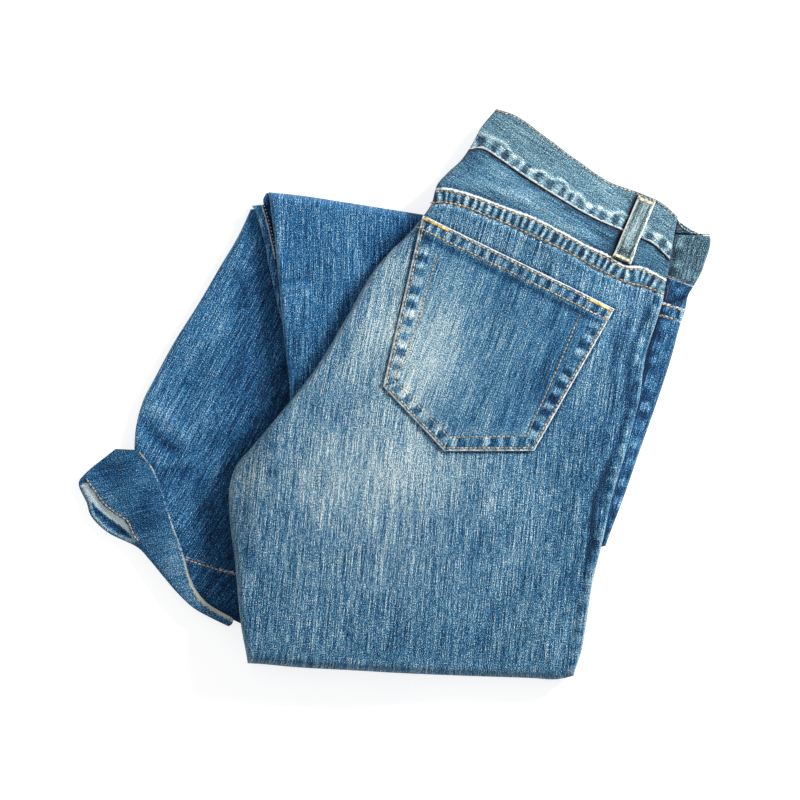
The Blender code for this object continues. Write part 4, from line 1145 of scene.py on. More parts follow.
def denim(name, tone, wash=1.0, streaks=1.0, speckle=1.0, worn_width=1.0, worn=None, greyed=0.0):
    """A denim finish that reads the piece's grain, tone and rim."""
    material, tree, surface = new_material(name, {
        "Roughness": 0.92, "Specular IOR Level": 0.25, "Sheen Weight": 0.08, "Sheen Roughness": 0.5})
    grain = tree.add("ShaderNodeUVMap", uv_map="grain").outputs[0]
    mark = tree.add("ShaderNodeAttribute", attribute_name="tone").outputs["Fac"]
    rim = tree.add("ShaderNodeAttribute", attribute_name="rim").outputs["Fac"]
    cloth = tree.add("ShaderNodeGroup", node_tree=group_named("Denim cloth", denim_group))
    wear = tree.add("ShaderNodeGroup", node_tree=group_named("Worn edge", wear_group))
    for node, label, value in (
        (cloth, "Streaks", streaks), (cloth, "Speckle", speckle), (cloth, "Wash", wash),
        (wear, "Width", worn_width),
    ):
        node.inputs[label].default_value = value
    links = material.node_tree.links
    links.new(grain, cloth.inputs["Grain"])
    links.new(tree.math("ADD", mark, tone), cloth.inputs["Tone"])
    links.new(grain, wear.inputs["Grain"])
    links.new(rim, wear.inputs["Distance"])
    dyed = cloth.outputs["Colour"]
    if greyed:
        dull = {"Hue": 0.5 - 0.1 * greyed, "Saturation": 1.0 - greyed, "Color": dyed}
        dyed = tree.add("ShaderNodeHueSaturation", dull).outputs[0]
    bare = opaque(worn or bpy.context.scene.trouser_colours.worn)
    links.new(tree.mix(wear.outputs[0], dyed, bare), surface["Base Color"])
    bump = tree.add("ShaderNodeBump", {
        "Strength": 0.7, "Distance": 0.0005, "Height": cloth.outputs["Height"]})
    links.new(bump.outputs[0], surface["Normal"])
    return material


def thread_finish(name, colour):
    """Twisted sewing thread with slight changes of colour."""
    material, tree, surface = new_material(name, {"Roughness": 0.7, "Specular IOR Level": 0.3})
    place = tree.add("ShaderNodeTexCoord").outputs["Object"]
    spot = tree.add("ShaderNodeTexNoise", {"Vector": place, "Scale": 420.0, "Detail": 2.0}).outputs[0]
    pale = opaque(min(1.0, c * 1.75 + 0.04) for c in colour)
    dark = opaque(c * 0.35 for c in colour)
    share = tree.math("MULTIPLY_ADD", tree.math("SUBTRACT", spot, 0.5), 3.0, 0.5, clamp=True)
    material.node_tree.links.new(tree.mix(share, dark, pale), surface["Base Color"])
    return material


def finish(piece, material, slot, nodes=(), sheet_of=None):
    """Give a piece its finish, its body and what it stands for."""
    piece.data.materials.append(material)
    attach(piece, "root")
    if nodes:
        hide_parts(*nodes)
    if sheet_of:
        width, length, area, rests_on = sheet_of
        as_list(rests_on)
    return piece


def stitch_form():
    """Points and faces of one stitch, a ball that every row stretches and sets."""
    bm = bmesh.new()
    bmesh.ops.create_uvsphere(bm, u_segments=8, v_segments=6, radius=1.0)
    points = np.array([v.co for v in bm.verts])
    faces = [[v.index for v in f.verts] for f in bm.faces]
    bm.free()
    return points, faces


def stitch_row(rows, line, face, pitch, thread, length=None, turn=0.0, lift=0.1, seed=1, start=0.5):
    """Add a row of stitches along a line of points, all in mm, as their centres and axes."""
    rng = np.random.default_rng(seed)
    line = np.asarray(line, float)
    at = lengths(line)
    count = max(1, int(at[-1] / pitch))
    length = length or pitch * 0.84
    spots = (np.arange(count) + start) * at[-1] / count
    here = read_line(line, at, spots)
    run = unit(read_line(line, at, spots + 0.5) - read_line(line, at, spots - 0.5))
    c, s = math.cos(math.radians(turn)), math.sin(math.radians(turn))
    run = np.column_stack([run[:, 0] * c - run[:, 1] * s, run[:, 0] * s + run[:, 1] * c])
    tangent = unit(np.column_stack([run, face(here + run * 0.5) - face(here - run * 0.5)]))
    across = np.column_stack([left_of(run), np.zeros(count)])
    up = np.cross(tangent, across)
    up *= np.sign(up[:, 2:]) / np.linalg.norm(up, axis=1, keepdims=True)
    centre = np.column_stack([here, face(here) + lift]) - np.array(MIDDLE_OF_BOX)
    centre += across * rng.uniform(-0.08, 0.08, (count, 1))
    half = length * 0.5 * rng.uniform(0.92, 1.05, (count, 1))
    rows.append((centre, across * thread * 0.5, up * thread * 0.42, tangent * half))


def thread_piece(rows, name, material, slot):
    """Join every stitch of the rows as one piece."""
    form, form_faces = stitch_form()
    points, faces = [], []
    for centre, across, up, tangent in rows:
        for c, a, b, t in zip(centre, across, up, tangent):
            start = len(points) * len(form)
            points.append(c + form @ np.array([a, b, t]))
            faces.extend([start + k for k in face] for face in form_faces)
    mesh = bpy.data.meshes.new(name)
    mesh.from_pydata((np.concatenate(points) * MM).tolist(), [], faces)
    bm = bmesh.new()
    bm.from_mesh(mesh)
    bmesh.ops.recalc_face_normals(bm, faces=bm.faces)
    bm.to_mesh(mesh)
    bm.free()
    mesh.shade_smooth()
    return finish(put(name, mesh), material, slot)


def painted(fade_rows, crease_rows=(), rim_lines=(), more=None):
    """Tone and rim of a piece, from its fades, painted shade and highlight along its creases, and its worn
    lines.
    """
    def paint(spots):
        tone = fades(spots, fade_rows)
        if crease_rows:
            tone = tone + CREASE_SHADING * creases(spots, crease_rows)
        rim = away_from(spots, *rim_lines) if rim_lines else np.full(len(spots), UNWORN)
        if more:
            tone = tone + more(spots)
        return tone, rim
    return paint


def sizes():
    return bpy.context.scene.trouser_sizes


def spaced(length, fine=False):
    """How many steps of the cloth grid a length in mm takes."""
    step = (sizes().fine_grid if fine else sizes().grid) / MM
    return max(2, round(length / step))


# Folded seat and thighs


def panel_face(points):
    base = seat_top(points) + ripple(points, 34.0, 0.5, 2.0) + ripple(points, 11.0, 0.16, 5.0)
    far, side = along(points, SIDE_POINTS)
    ridge = hump(side, 3.0, 3.5) * (0.75 + 0.25 * np.sin(far * 0.45 + np.sin(far * 0.13) * 2.0))
    gully = -0.8 * hump(side - GULLY_IN, 2.6, 2.0 * np.sin(points[:, 1] * 0.06))
    return base + (ridge + gully)


def fell_face(points):
    far, side = along(points, FELL_POINTS)
    low = np.abs(along(points, YOKE_POINTS)[1])
    lift = FELL_LIFT * smooth((1.9 - side) / 1.3) * (0.25 + 0.75 * smooth(low / 1.6))
    pucker = sizes().pucker / MM * np.sin(2.0 * math.pi * far / 5.6) * smooth((1.0 - side) / 1.0)
    dip = -0.35 * hump(side, 0.7, -0.9) - 0.3 * hump(side, 0.8, -9.4)
    waves = creases(points, YOKE_CREASES) + ripple(points, 20.0, 0.4, 3.0)
    return seat_top(points) + (lift + pucker + dip) + waves


def wander(far):
    """How high over its seam the waistband's soft ridge runs."""
    return 9.5 + 2.0 * np.sin(far * 0.11) + 1.2 * np.sin(far * 0.37)


def band_face(points):
    far, side = along(points, BAND_POINTS)
    crumple = 0.5 * hump(side, 1.6, wander(far)) - 0.3 * hump(side, 2.5, 5.0)
    pucker = 0.3 * np.sin(2.0 * math.pi * far / SEAM_PERIOD) * smooth((10.0 - side) / 4.0)
    top_dip = -0.25 * hump(away_from(points, WAIST_POINTS), 0.8, 1.7)
    extra = (crumple + pucker + top_dip)
    return seat_top(points) + BAND_LIFT + extra + ripple(points, 24.0, 0.7, 8.0)


def pocket_ring():
    return np.array([POCKET[k] for k in ("top_left", "left", "low_left", "low_right", "top_right")])


def pocket_hem():
    return np.array([POCKET["top_right"], POCKET["top_left"]])


def pocket_face(points):
    _, low = sag(points, LOWER_RING, 1.0, LOWER_SAG_LEFT, LOWER_SAG_RIGHT)
    _, mid = sag(points, MIDDLE_RING, 1.0)
    far, side = along(points, pocket_ring())
    hem_far, hem = along(points, pocket_hem())
    fold = 0.45 * smooth((11.0 - side) / 3.0)
    pucker = sizes().pucker / MM * np.sin(2.0 * math.pi * far / SEAM_PERIOD) * smooth((12.0 - side) / 3.0)
    turned = 0.85 * smooth((11.6 - hem) / 1.4)
    hem_pucker = 0.22 * np.sin(2.0 * math.pi * hem_far / 7.4) * smooth((11.0 - hem) / 2.0)
    dips = SEWN_DIP * hump(side, 0.7, POCKET_SEWN) + SEWN_DIP * hump(hem, 0.7, 1.3)
    dips += SEWN_DIP * hump(hem, 0.7, HEM_SEWN)
    dips += SEWN_DIP * hump(away_from(points, np.array(POCKET_INNER)), 0.8)
    extra = 0.4 * np.maximum(low, mid) + fold + pucker + turned + hem_pucker + dips
    base = seat_base(points) + GAP + POCKET_PLY
    return base + extra + ripple(points, 26.0, 0.5, 4.0)


def pocket_sewn():
    """The pocket's whole outline, closed."""
    return np.vstack([pocket_ring(), POCKET["top_left"]])


def panel_more(spots):
    ring = pocket_sewn()
    shade = -0.30 * hump(away_from(spots, ring), 1.8)
    pale = 0.07 * hump(away_from(spots, sampled(PANEL.left)), 5.0)
    ropes = roping(spots, SIDE_POINTS, 13.0, 1.5, 7.0, 0.15, 2.0)
    edge = 0.26 * hump(away_from(spots, SIDE_POINTS), 1.4)
    below = away_from(spots, YOKE_POINTS)
    seam = 0.26 * hump(below, 0.9, 0.8) - 0.07 * hump(below, 3.0, 5.0)
    inner = from_side(spots)
    reach = window(spots[:, 1], -170.0, 60.0, 75.0, 20.0)
    # painted shade in the gully beside the side edge, and in a second groove further in
    gully = -0.40 * hump(inner - GULLY_IN, 2.6, 2.0 * np.sin(spots[:, 1] * 0.06)) * reach
    high = window(spots[:, 1], -70.0, 40.0, 60.0, 20.0)
    gully += -0.22 * hump(inner - 20.0, 4.0, 3.0 * np.sin(spots[:, 1] * 0.045)) * high
    return shade + pale + ropes + edge + seam + gully


def yoke_more(spots):
    fell = FELL_POINTS
    ropes = roping(spots, fell[::-1], 5.6, 0.9, 9.3, 0.56, 1.0)
    _, up = along(spots, fell)
    base = np.where(up < 0.5, 0.0, 0.02)
    line = -0.12 * hump(up, 1.2, 3.0) - 0.10 * hump(up, 0.6, -0.9)
    # painted shadows beside the belt loop and under the waistband's lower edge
    foot = LOOP.bottom(np.linspace(0, 1, 9))
    loop_shade = -0.6 * hump(away_from(spots, sampled(LOOP.left), foot), 2.8)
    band_and_loop_shadow = loop_shade - 0.5 * hump(away_from(spots, BAND_POINTS), 1.8)
    return ropes + base + line + band_and_loop_shadow


def yoke_paint(spots):
    _, up = along(spots, FELL_POINTS)
    # the last term paints shade and highlight along the yoke's ripples
    tone = fades(spots, YOKE_FADES) + yoke_more(spots) + CREASE_SHADING * creases(spots, YOKE_CREASES)
    low = np.abs(along(spots, YOKE_POINTS)[1])
    return tone, np.minimum(np.abs(up - 0.9), low + 0.35)


def band_more(spots):
    line = BAND_POINTS
    far, up = along(spots, line)
    ropes = roping(spots, line, 9.5, 1.6, 9.0, 0.40, 6.0)
    ridge = 0.44 * hump(up, 1.3, wander(far))
    loop_shade = -0.6 * hump(away_from(spots, sampled(LOOP.left)), 2.8)
    return ropes + ridge + loop_shade


def pocket_more(spots):
    ring = pocket_ring()
    _, inner = along(spots, ring)
    _, hem = along(spots, pocket_hem())
    clear = smooth((hem - 11.0) / 2.0)
    ropes = roping(spots, ring, 11.5, 3.4, 10.5, 0.40, 3.0) * clear
    hem_ropes = roping(spots, pocket_hem(), 7.6, 2.2, 9.0, 0.36, 4.0)
    # painted shadow below the hem's lower edge, with a pale line along that edge
    shade = -0.28 * hump(hem, 2.4, 13.8) * smooth(inner / 6.0)
    shade += 0.20 * hump(hem, 0.9, 11.0) * smooth(inner / 4.0)
    pale = 0.08 * hump(inner, 2.4, 13.0) * clear
    return ropes + hem_ropes + shade + pale


def side_tail(points):
    return side_top(points) + 0.9


# Rings of the edges that aren't plain rolls: inset, share of the way down
SIDE_ROLL = [
    (3.0, 0), (2.0, 0.02), (1.4, 0.06), (0.9, 0.12), (0.5, 0.2), (0.25, 0.32), (0.1, 0.45),
    (0.02, 0.58), (0.0, 0.7), (0.0, 0.85), (0.0, 1.0),
]
TRIM_RINGS = [(1.4, 0), (0.8, 0.05), (0.4, 0.15), (0.1, 0.3), (0.0, 0.5), (0.06, 0.75), (0.2, 1.0)]
BAND_LEFT_RINGS = [(4.6, 0), (2.8, 0.03), (1.8, 0.1), (0.8, 0.22), (0.3, 0.4), (0.0, 0.7), (0.4, 1.0)]
BAND_RIGHT_RINGS = [(3.0, 0), (1.9, 0.03), (1.2, 0.1), (0.6, 0.22), (0.3, 0.4), (0.0, 0.7), (0.4, 1.0)]
BAND_TOP_RINGS = [(1.6, 0), (1.1, 0.03), (0.8, 0.1), (0.4, 0.22), (0.2, 0.4), (0.0, 0.7), (0.3, 1.0)]
BAND_LOW_RINGS = [
    (0.9, 0), (0.5, 0.06), (0.25, 0.2), (0.25, 0.5), (0.25, 0.75), (0.25, 1.0), (0.3, 1.0),
]
LEG_RINGS = [(4.4, 0), (3.0, 0.12), (2.5, 0.38), (1.2, 0.5), (0.4, 0.6), (0.1, 0.8), (1.2, 1.0)]
INNER_LEFT_RINGS = [(5.2, 0), (3.4, 0.12), (2.6, 0.32), (2.6, 0.5), (3.4, 0.68), (5.6, 1.0)]
INNER_RIGHT_RINGS = [(3.4, 0), (3.1, 0.12), (2.95, 0.3), (2.9, 0.5), (3.0, 0.7), (3.3, 1.0)]
INNER_LOW_RINGS = [(8.0, 0), (5.6, 0.15), (3.8, 0.4), (3.2, 0.6), (2.8, 0.8), (2.8, 1.0)]
MIDDLE_LEFT_RINGS = [(4.5, 0), (2.9, 0.15), (2.5, 0.4), (3.2, 0.5), (2.6, 0.7), (3.2, 1.0)]
MIDDLE_LOW_RINGS = [(1.0, 0), (0.2, 0.2), (0.8, 0.45), (0.4, 0.6), (1.6, 0.8), (3.8, 1.0)]
MIDDLE_TOP_RINGS = [(6.0, 0), (4.2, 0.15), (3.2, 0.4), (2.8, 0.6), (2.6, 0.8), (2.6, 1.0)]
STRIP_RINGS = [(0.9, 0), (0.45, 0.06), (0.15, 0.2), (0.0, 0.5), (0.15, 0.8), (0.4, 1.0)]
STRIP_INNER_RINGS = [(0.4, 0), (0.1, 0.12), (0.0, 0.5), (0.1, 1.0)]
HEM_RINGS = [(0.8, 0), (0.5, 0.04), (0.25, 0.12), (0.08, 0.3), (0.0, 0.5), (0.06, 0.75), (0.2, 1.0)]
CREASE_RINGS = [(1.5, 0), (0.9, 0.05), (0.5, 0.15), (0.15, 0.3), (0.0, 0.5), (0.4, 0.75), (0.9, 1.0)]
TURNUP_END_RINGS = [
    (0.6, 0), (0.4, 0.05), (0.2, 0.15), (0.05, 0.3), (0.0, 0.5), (0.1, 0.75), (0.3, 1.0),
]


def even(rings):
    """The same rings on all four edges."""
    return {"left": rings, "right": rings, "bottom": rings, "top_edge": rings}


def build_panel():
    def tail(points, share):
        rise = smooth((share - 0.015) / 0.06)
        side = smooth((from_side(points) - 6.0) / 6.0)
        upper = side_tail(points) * (1.0 - side) + (seat_under(points) + GAP) * side
        return FLOOR_CLEAR + (upper - FLOOR_CLEAR) * rise

    cloth = Cloth(
        PANEL, panel_face, tail, left=roll(4.6), right=SIDE_ROLL, bottom=roll(7.0), top_edge=SEAM_SHOWN,
    )
    paint = painted(SEAT_FADES, SEAT_CREASES, more=panel_more)
    return sheet("seat_and_thigh_panel", cloth, spaced(290), spaced(340), 12, leaning(5.5, 0.11), paint)


def seam_tail(points, share):
    return np.where(from_side(points) < NEAR_SIDE, side_tail(points), seat_under(points) + GAP)


def build_yoke():
    cloth = Cloth(
        YOKE, fell_face, seam_tail, left=roll(4.6), right=SIDE_ROLL, bottom=SEAM_SHOWN, top_edge=SEAM_SHOWN,
    )
    size = spaced(172, True), spaced(42, True)
    return sheet("back_yoke", cloth, *size, 12, leaning(-60.0), yoke_paint)


def build_band():
    cloth = trim(
        BAND, band_face, BAND_PLY, left=BAND_LEFT_RINGS, right=BAND_RIGHT_RINGS,
        bottom=BAND_LOW_RINGS, top_edge=BAND_TOP_RINGS,
    )
    paint = painted(BAND_FADES, rim_lines=(BAND_POINTS,), more=band_more)
    return block("waistband", cloth, spaced(165, True), spaced(36, True), 8, leaning(-56.0), paint)


def build_pocket():
    cloth = trim(BACK_POCKET, pocket_face, POCKET_PLY, **even(TRIM_RINGS))
    paint = painted(POCKET_FADES, rim_lines=(pocket_sewn(),), more=pocket_more)
    return block("back_pocket", cloth, spaced(160, True), spaced(150, True), 6, leaning(20.0), paint)


LOOP_HEIGHTS = Curve([(row[4], 0.0) for row in LOOP_ROWS], LOOP.left.knots)
LOOP_MIDDLE = 0.5 * (sampled(LOOP.left, 101) + sampled(LOOP.right, 101))


def loop_face(points):
    far, side = along(points, LOOP_MIDDLE)
    height = LOOP_HEIGHTS(far / far.max())[:, 0]
    rib = 0.35 * hump(np.abs(side), 1.2, 4.9) - 0.1 * hump(side, 1.4)
    tack = -0.5 * hump(far, 1.6, 2.2)
    return seat_base(points) + (height + LOOP_PLY + 0.6 + rib + tack)


def build_loop():
    cloth = trim(LOOP, loop_face, LOOP_PLY, **even(TRIM_RINGS))

    def more(spots):
        far, off = along(spots, LOOP_MIDDLE)
        stripes = 0.14 * hump(off, 2.2) - 0.30 * hump(np.abs(off), 0.9, 3.7)
        foot = -0.46 * hump(far, 2.8, 6.8) * smooth((4.8 - np.abs(off)) / 1.2)
        return stripes + foot

    paint = painted([], rim_lines=(sampled(LOOP.left), sampled(LOOP.right)), more=more)
    return block("belt_loop", cloth, spaced(14, True), spaced(54, True), 6, leaning(24.0), paint)


# Seams of the left half beside the right one
LEFT_BAND_LOW = np.array([(196.0, 87.3), (205.0, 84.0), (219.5, 78.8)])
LEFT_FELL_TOP = np.array([(192.0, 68.0), (200.0, 65.5), (212.8, 61.8)])
LEFT_FELL_LOW = np.array([(190.0, 59.0), (198.0, 56.5), (209.6, 52.6)])


def side_face(points):
    """Upper face of the left half where it shows, with its seams raised."""
    fell = hump(points[:, 1] - 66.0 + 0.4 * (points[:, 0] - 200.0), 4.5)
    band = smooth((points[:, 1] - 83.5 + 0.38 * (points[:, 0] - 205.0)) / 1.6)
    return side_top(points) + (0.5 * fell + 0.9 * band) + ripple(
        points, 16.0, 0.5, 7.0)


def left_more(spots):
    x, y = spots[:, 0], spots[:, 1]
    edge = from_side(spots)
    ropes = roping(spots, LEFT_FELL_TOP[::-1], 7.0, 0.6, 7.6, 0.36, 3.0)
    ropes += roping(spots, SIDE_POINTS[::-1], 15.0, 2.0, 9.0, 0.26, 5.0)
    open_gap = window(y, 0.0, 16.0, 72.0, 8.0)
    shade = -(0.2 + 0.4 * open_gap) * hump(edge, 2.6 + 1.2 * open_gap)
    dark = -0.12 * window(y, 63.0, 3.0, 85.0, 3.0)
    # painted shadow under the left waistband's lower edge
    below = -0.2 * hump(along(spots, LEFT_BAND_LOW)[1], 1.4, -2.2)
    pale = 0.16 * hump(np.hypot(x - 216.0, y - 87.0), 5.0)
    # painted shade along a fold line, with a painted highlight on the ridge above it
    fold = -0.34 * hump(away_from(spots, [(200.8, 66.9), (218.1, 74.1)]), 1.3)
    fold += 0.24 * hump(away_from(spots, [(205.2, 75.0), (215.2, 79.4)]), 1.8)
    # painted shade in the gap between the two halves at the yoke and waistband
    gap = -0.32 * hump(edge, 2.2) * window(y, 60.0, 8.0, 96.0, 8.0)
    return ropes + shade + dark + below + pale + fold + gap


def build_left(name, first, last):
    """A piece of the left half, between two rows of the side table."""
    plan = side_patch(first, last)
    cloth = Cloth(
        plan, side_face, lambda p, v: seat_under(p) + FLOOR_CLEAR,
        left=0.0, right=roll(2.0, end=120.0), bottom=SEAM_SHOWN, top_edge=SEAM_SHOWN,
    )
    paint = painted([], rim_lines=(LEFT_BAND_LOW, LEFT_FELL_TOP, LEFT_FELL_LOW), more=left_more)
    long = spaced(lengths(sampled(plan.right, 60))[-1], True)
    return sheet(name, cloth, 26, long, 8, leaning(17.0), paint)


def inside_face(points):
    return side_top(points) - 0.2


THIN_EDGE, THICKER_EDGE = [[(inset, 0), (0.1, 0.15), (0.0, 0.5), (0.1, 1.0)] for inset in (0.25, 0.3)]


def build_inside_band():
    cloth = trim(INSIDE_BAND, inside_face, PLY, **even(THIN_EDGE))
    return block("waistband_inside", cloth, 6, 24, 3, leaning(80.0), painted([], more=lambda p: -0.16))


# Middle legs


def middle_face(points):
    return middle_top(points) + creases(points, MIDDLE_CREASES) + ripple(points, 30.0, 0.5, 11.0)


def build_middle_leg():
    def tail(points, share):
        left = middle_under(points) + STRIP_PLY + 3.0 * GAP
        return left + (FLOOR_CLEAR - left) * smooth((share - 0.955) / 0.03)

    cloth = Cloth(
        MIDDLE, middle_face, tail, left=roll(3.0, end=110.0), right=0.3, bottom=0.3, top_edge=roll(6.0),
    )

    def more(spots):
        line = LEFT_POINTS
        shade = -0.10 * hump(away_from(spots, line), 16.0)
        return shade + 0.14 * hump(away_from(spots, sampled(MIDDLE.left)), 1.4)

    paint = painted(MIDDLE_FADES, MIDDLE_CREASES, more=more)
    return sheet("left_leg_over", cloth, spaced(225), spaced(340), 12, leaning(0.5), paint)


OVERLOCK_LINE = np.array([(-88.6, 99.0), (-89.7, 105.1), (-92.4, 117.1), (-95.2, 128.3), (-98.4, 138.4)])


def strip_top(points):
    line = sampled(STRIP.right)
    inner = away_from(points, line)
    return LOWER_RISE + GAP + STRIP_PLY + 0.3 - 0.6 * hump(inner, 1.4)


def build_strip():
    cloth = Cloth(
        STRIP, strip_top, lambda p, v: LOWER_RISE + GAP + 0.0 * v, left=STRIP_RINGS,
        right=STRIP_INNER_RINGS, bottom=0.3, top_edge=STRIP_RINGS,
        under=lambda p: LOWER_RISE + GAP + 0.0 * p[..., 0],
    )

    def more(spots):
        inner = away_from(spots, sampled(STRIP.right))
        outer = away_from(spots, sampled(STRIP.left))
        beyond = along(spots, OVERLOCK_LINE)[1]
        # painted shade inside the opening past the overlock line, and under the edge of the leg above
        dark = -0.42 * smooth((-beyond - 0.2) / 0.8) - 0.2 * smooth((2.0 - inner) / 1.0)
        return dark + 0.08 * hump(outer, 1.5) - 0.12 * hump(outer, 0.9, 3.6)

    paint = painted([], more=more)
    return block("right_leg_under", cloth, 16, spaced(96, True), 6, leaning(6.0), paint)


def opening_face(points):
    return LOWER_RISE + GAP + STRIP_PLY - 0.4 + 0.0 * points[..., 0]


def build_opening():
    cloth = trim(OPENING, opening_face, PLY, **even(THICKER_EDGE))

    def more(spots):
        rim = away_from(spots, sampled(OPENING.left))
        lip = smooth((spots[:, 1] - 138.5) / 1.5) * smooth((3.4 - rim) / 1.0)
        # painted shade inside the opening, with a paler lip at its top
        return -0.40 + 0.44 * lip

    return block("leg_opening", cloth, 6, 44, 3, leaning(10.0), painted([], more=more))


# Lower legs

HEM_STITCH = np.array([(-154.8, -121.2), (-135.0, -127.5), (-116.8, -132.9), (-90.0, -141.0)])


def lower_face(points):
    _, up = along(points, HEM_STITCH)
    hem = 0.5 * smooth((0.8 - up) / 1.4) - 0.3 * hump(up, 0.8)
    ring = inside(points, LOWER_RING)
    return LOWER_RISE - 0.35 + (hem * (ring < 60.0)) + creases(
        points, LOWER_CREASES) + ripple(points, 28.0, 0.5, 13.0)


def build_lower_leg():
    cloth = Cloth(
        LOWER, lower_face, lambda p, v: 3.6 + 0.0 * v,
        left=roll(2.6, end=120.0), right=0.5, bottom=roll(2.6, end=120.0), top_edge=0.5,
    )

    def more(spots):
        # painted shadows beside the right half's edge, the upper leg's edge and the turned-up hem; a pale
        # line along the leg's own left edge is added to them
        shade = -0.16 * hump(away_from(spots, LEFT_POINTS), 24.0)
        shade += -0.16 * hump(away_from(spots, sampled(MIDDLE.left)), 16.0)
        shade += -0.10 * hump(away_from(spots, sampled(TURNUP.left)), 5.0)
        shade += 0.20 * hump(away_from(spots, sampled(LOWER.left)), 1.1)
        _, up = along(spots, HEM_STITCH)
        return shade - 0.05 * smooth(-up / 2.0)

    paint = painted(LOWER_FADES, LOWER_CREASES, rim_lines=(moved(HEM_STITCH, 1.5),), more=more)
    lean = leaning(28.0, low_bend=0.26)
    return sheet("right_leg_end", cloth, spaced(200), spaced(310), 8, lean, paint)


def turnup_top(points):
    out = inside(points, LOWER_RING)
    return 5.2 + (LOWER_RISE + GAP + TURNUP_RISE - 5.2) * smooth(1.0 + (out - 9.0) / 40.0)


def turnup_under(points):
    return (LOWER_RISE + 0.25 + GAP) * smooth(1.0 + (inside(points, LOWER_RING) + 2.5) / 12.0)


# Edge of the allowance on the turned-up corner, foot to top: x_mm, y_mm
ALLOWANCE_EDGE = [
    (-189.0, -108.8), (-192.5, -104.5), (-197.8, -93.4), (-205.0, -88.5), (-214.6, -81.0),
    (-221.5, -71.5), (-227.8, -62.8),
]
WRONG_SIDE_EDGE = [
    (-190.0, -110.0), (-197.8, -100.5), (-206.0, -94.5), (-215.0, -88.0), (-222.0, -81.0), (-227.8, -72.0),
]
ALLOWANCE_POINTS, WRONG_SIDE_POINTS = sampled(Curve(ALLOWANCE_EDGE)), sampled(Curve(WRONG_SIDE_EDGE))


def turnup_face(points):
    _, out = along(points, ALLOWANCE_POINTS)
    _, beyond = along(points, WRONG_SIDE_POINTS)
    near = hump(np.abs(out), 40.0)
    step = -0.7 * smooth((out - 0.2) / 0.9) * near - 0.9 * smooth((beyond - 0.2) / 0.9) * near
    lip = 0.35 * hump(out, 1.2, -1.2)
    hem = 0.35 * hump(away_from(points, sampled(TURNUP.left)), 1.4, 1.2)
    return turnup_top(points) + (step + lip + hem) + creases(
        points, TURNUP_CREASES) + ripple(points, 14.0, 0.6, 17.0)


def build_turnup():
    cloth = Cloth(
        TURNUP, turnup_face, lambda p, v: turnup_under(p), left=HEM_RINGS, right=CREASE_RINGS,
        bottom=TURNUP_END_RINGS, top_edge=TURNUP_END_RINGS, under=turnup_under,
    )

    def paint(spots):
        far, out = along(spots, ALLOWANCE_POINTS)
        _, beyond = along(spots, WRONG_SIDE_POINTS)
        near = away_from(spots, ALLOWANCE_POINTS) < 20.0
        near = near * window(far, 0.5, 3.0, far.max() - 0.5, 3.0)
        strip = smooth((out - 0.3) / 0.8) * smooth((0.2 - beyond) / 0.8) * near
        # painted shade on the inner allowance past the wrong side, where it lies inside the opening
        dark = smooth((beyond - 0.2) / 0.8) * near
        rim = hump(away_from(spots, sampled(TURNUP.right)), 1.1, 0.8) * near
        # painted shade and highlight along the creases
        tone = fades(spots, TURNUP_FADES) + 0.12 * creases(spots, TURNUP_CREASES)
        foot = smooth((-96.0 - spots[:, 1]) / 56.0)
        worn = away_from(spots, sampled(TURNUP.left)) * (2.0 - 1.5 * foot)
        return tone + (0.86 * strip - 0.16 * dark + 0.62 * rim), worn

    size = spaced(36, True), spaced(190, True)
    return block("hem_turned_up", cloth, *size, 6, leaning(77.0), paint)


# Hidden plies, one rounded solid for each fold level

# Rows of the hidden seat plies up to the yoke, the waistband and the top
STATIONS = np.cumsum([0, 60, 10, 8])


def build_hidden_seat():
    rows = np.arange(STATIONS[-1] + 1)
    left_lines = np.interp(rows, STATIONS, [0.0, LEFT_YOKE, LEFT_WAIST, 1.0])
    right_lines = np.interp(rows, STATIONS, [0.0, RIGHT_YOKE, RIGHT_WAIST, 1.0])

    def seat_inner_top(points):
        upper, lower = under_ply(seat_base)(points) - 0.6, under_ply(side_top)(points) - 0.3
        from_step = np.where(inside(points, HALF_RING) > 0.0, from_side(points), 0.0) - Step.step_out
        return lower + (upper - lower) * smooth(from_step / (Step.step_in - Step.step_out) * 1.1 - 0.05)

    cloth = Cloth(
        Patch(LEFT, OUTER, FOLD, WAIST), seat_inner_top, lambda p, v: seat_under(p),
        left=INNER_LEFT_RINGS, right=INNER_RIGHT_RINGS, bottom=INNER_LOW_RINGS, top_edge=stacked(3, 1.0),
        under=seat_under, left_lines=left_lines, right_lines=right_lines, step=Step(),
    )
    return block("hidden_seat_plies", cloth, 63, len(rows) - 1, 18, leaning(0.0), painted([]))


def build_hidden_middle():
    cloth = Cloth(
        MIDDLE, lambda p: under_ply(middle_top)(p) - 0.5, lambda p, v: middle_under(p),
        left=MIDDLE_LEFT_RINGS, right=stacked(2, 0.6), bottom=MIDDLE_LOW_RINGS,
        top_edge=MIDDLE_TOP_RINGS, under=middle_under,
    )
    return block("hidden_middle_plies", cloth, 56, 84, 14, leaning(0.0), painted([]))


def build_hidden_lower():
    cloth = Cloth(
        LOWER, lambda p: np.full(len(p), LOWER_RISE - 0.75 - PLY - CORE_GAP), lambda p, v: 0.0 * v,
        left=LEG_RINGS, right=stacked(3), bottom=LEG_RINGS, top_edge=stacked(3), under=flat_floor,
    )
    return block("hidden_lower_plies", cloth, 48, 76, 18, leaning(28.0), painted([]))


# Stitches


def moved(line, inset):
    """A line moved to its left by an inset in mm."""
    line = np.asarray(line, float)
    return line + inset * left_of(unit(np.gradient(line, axis=0)))


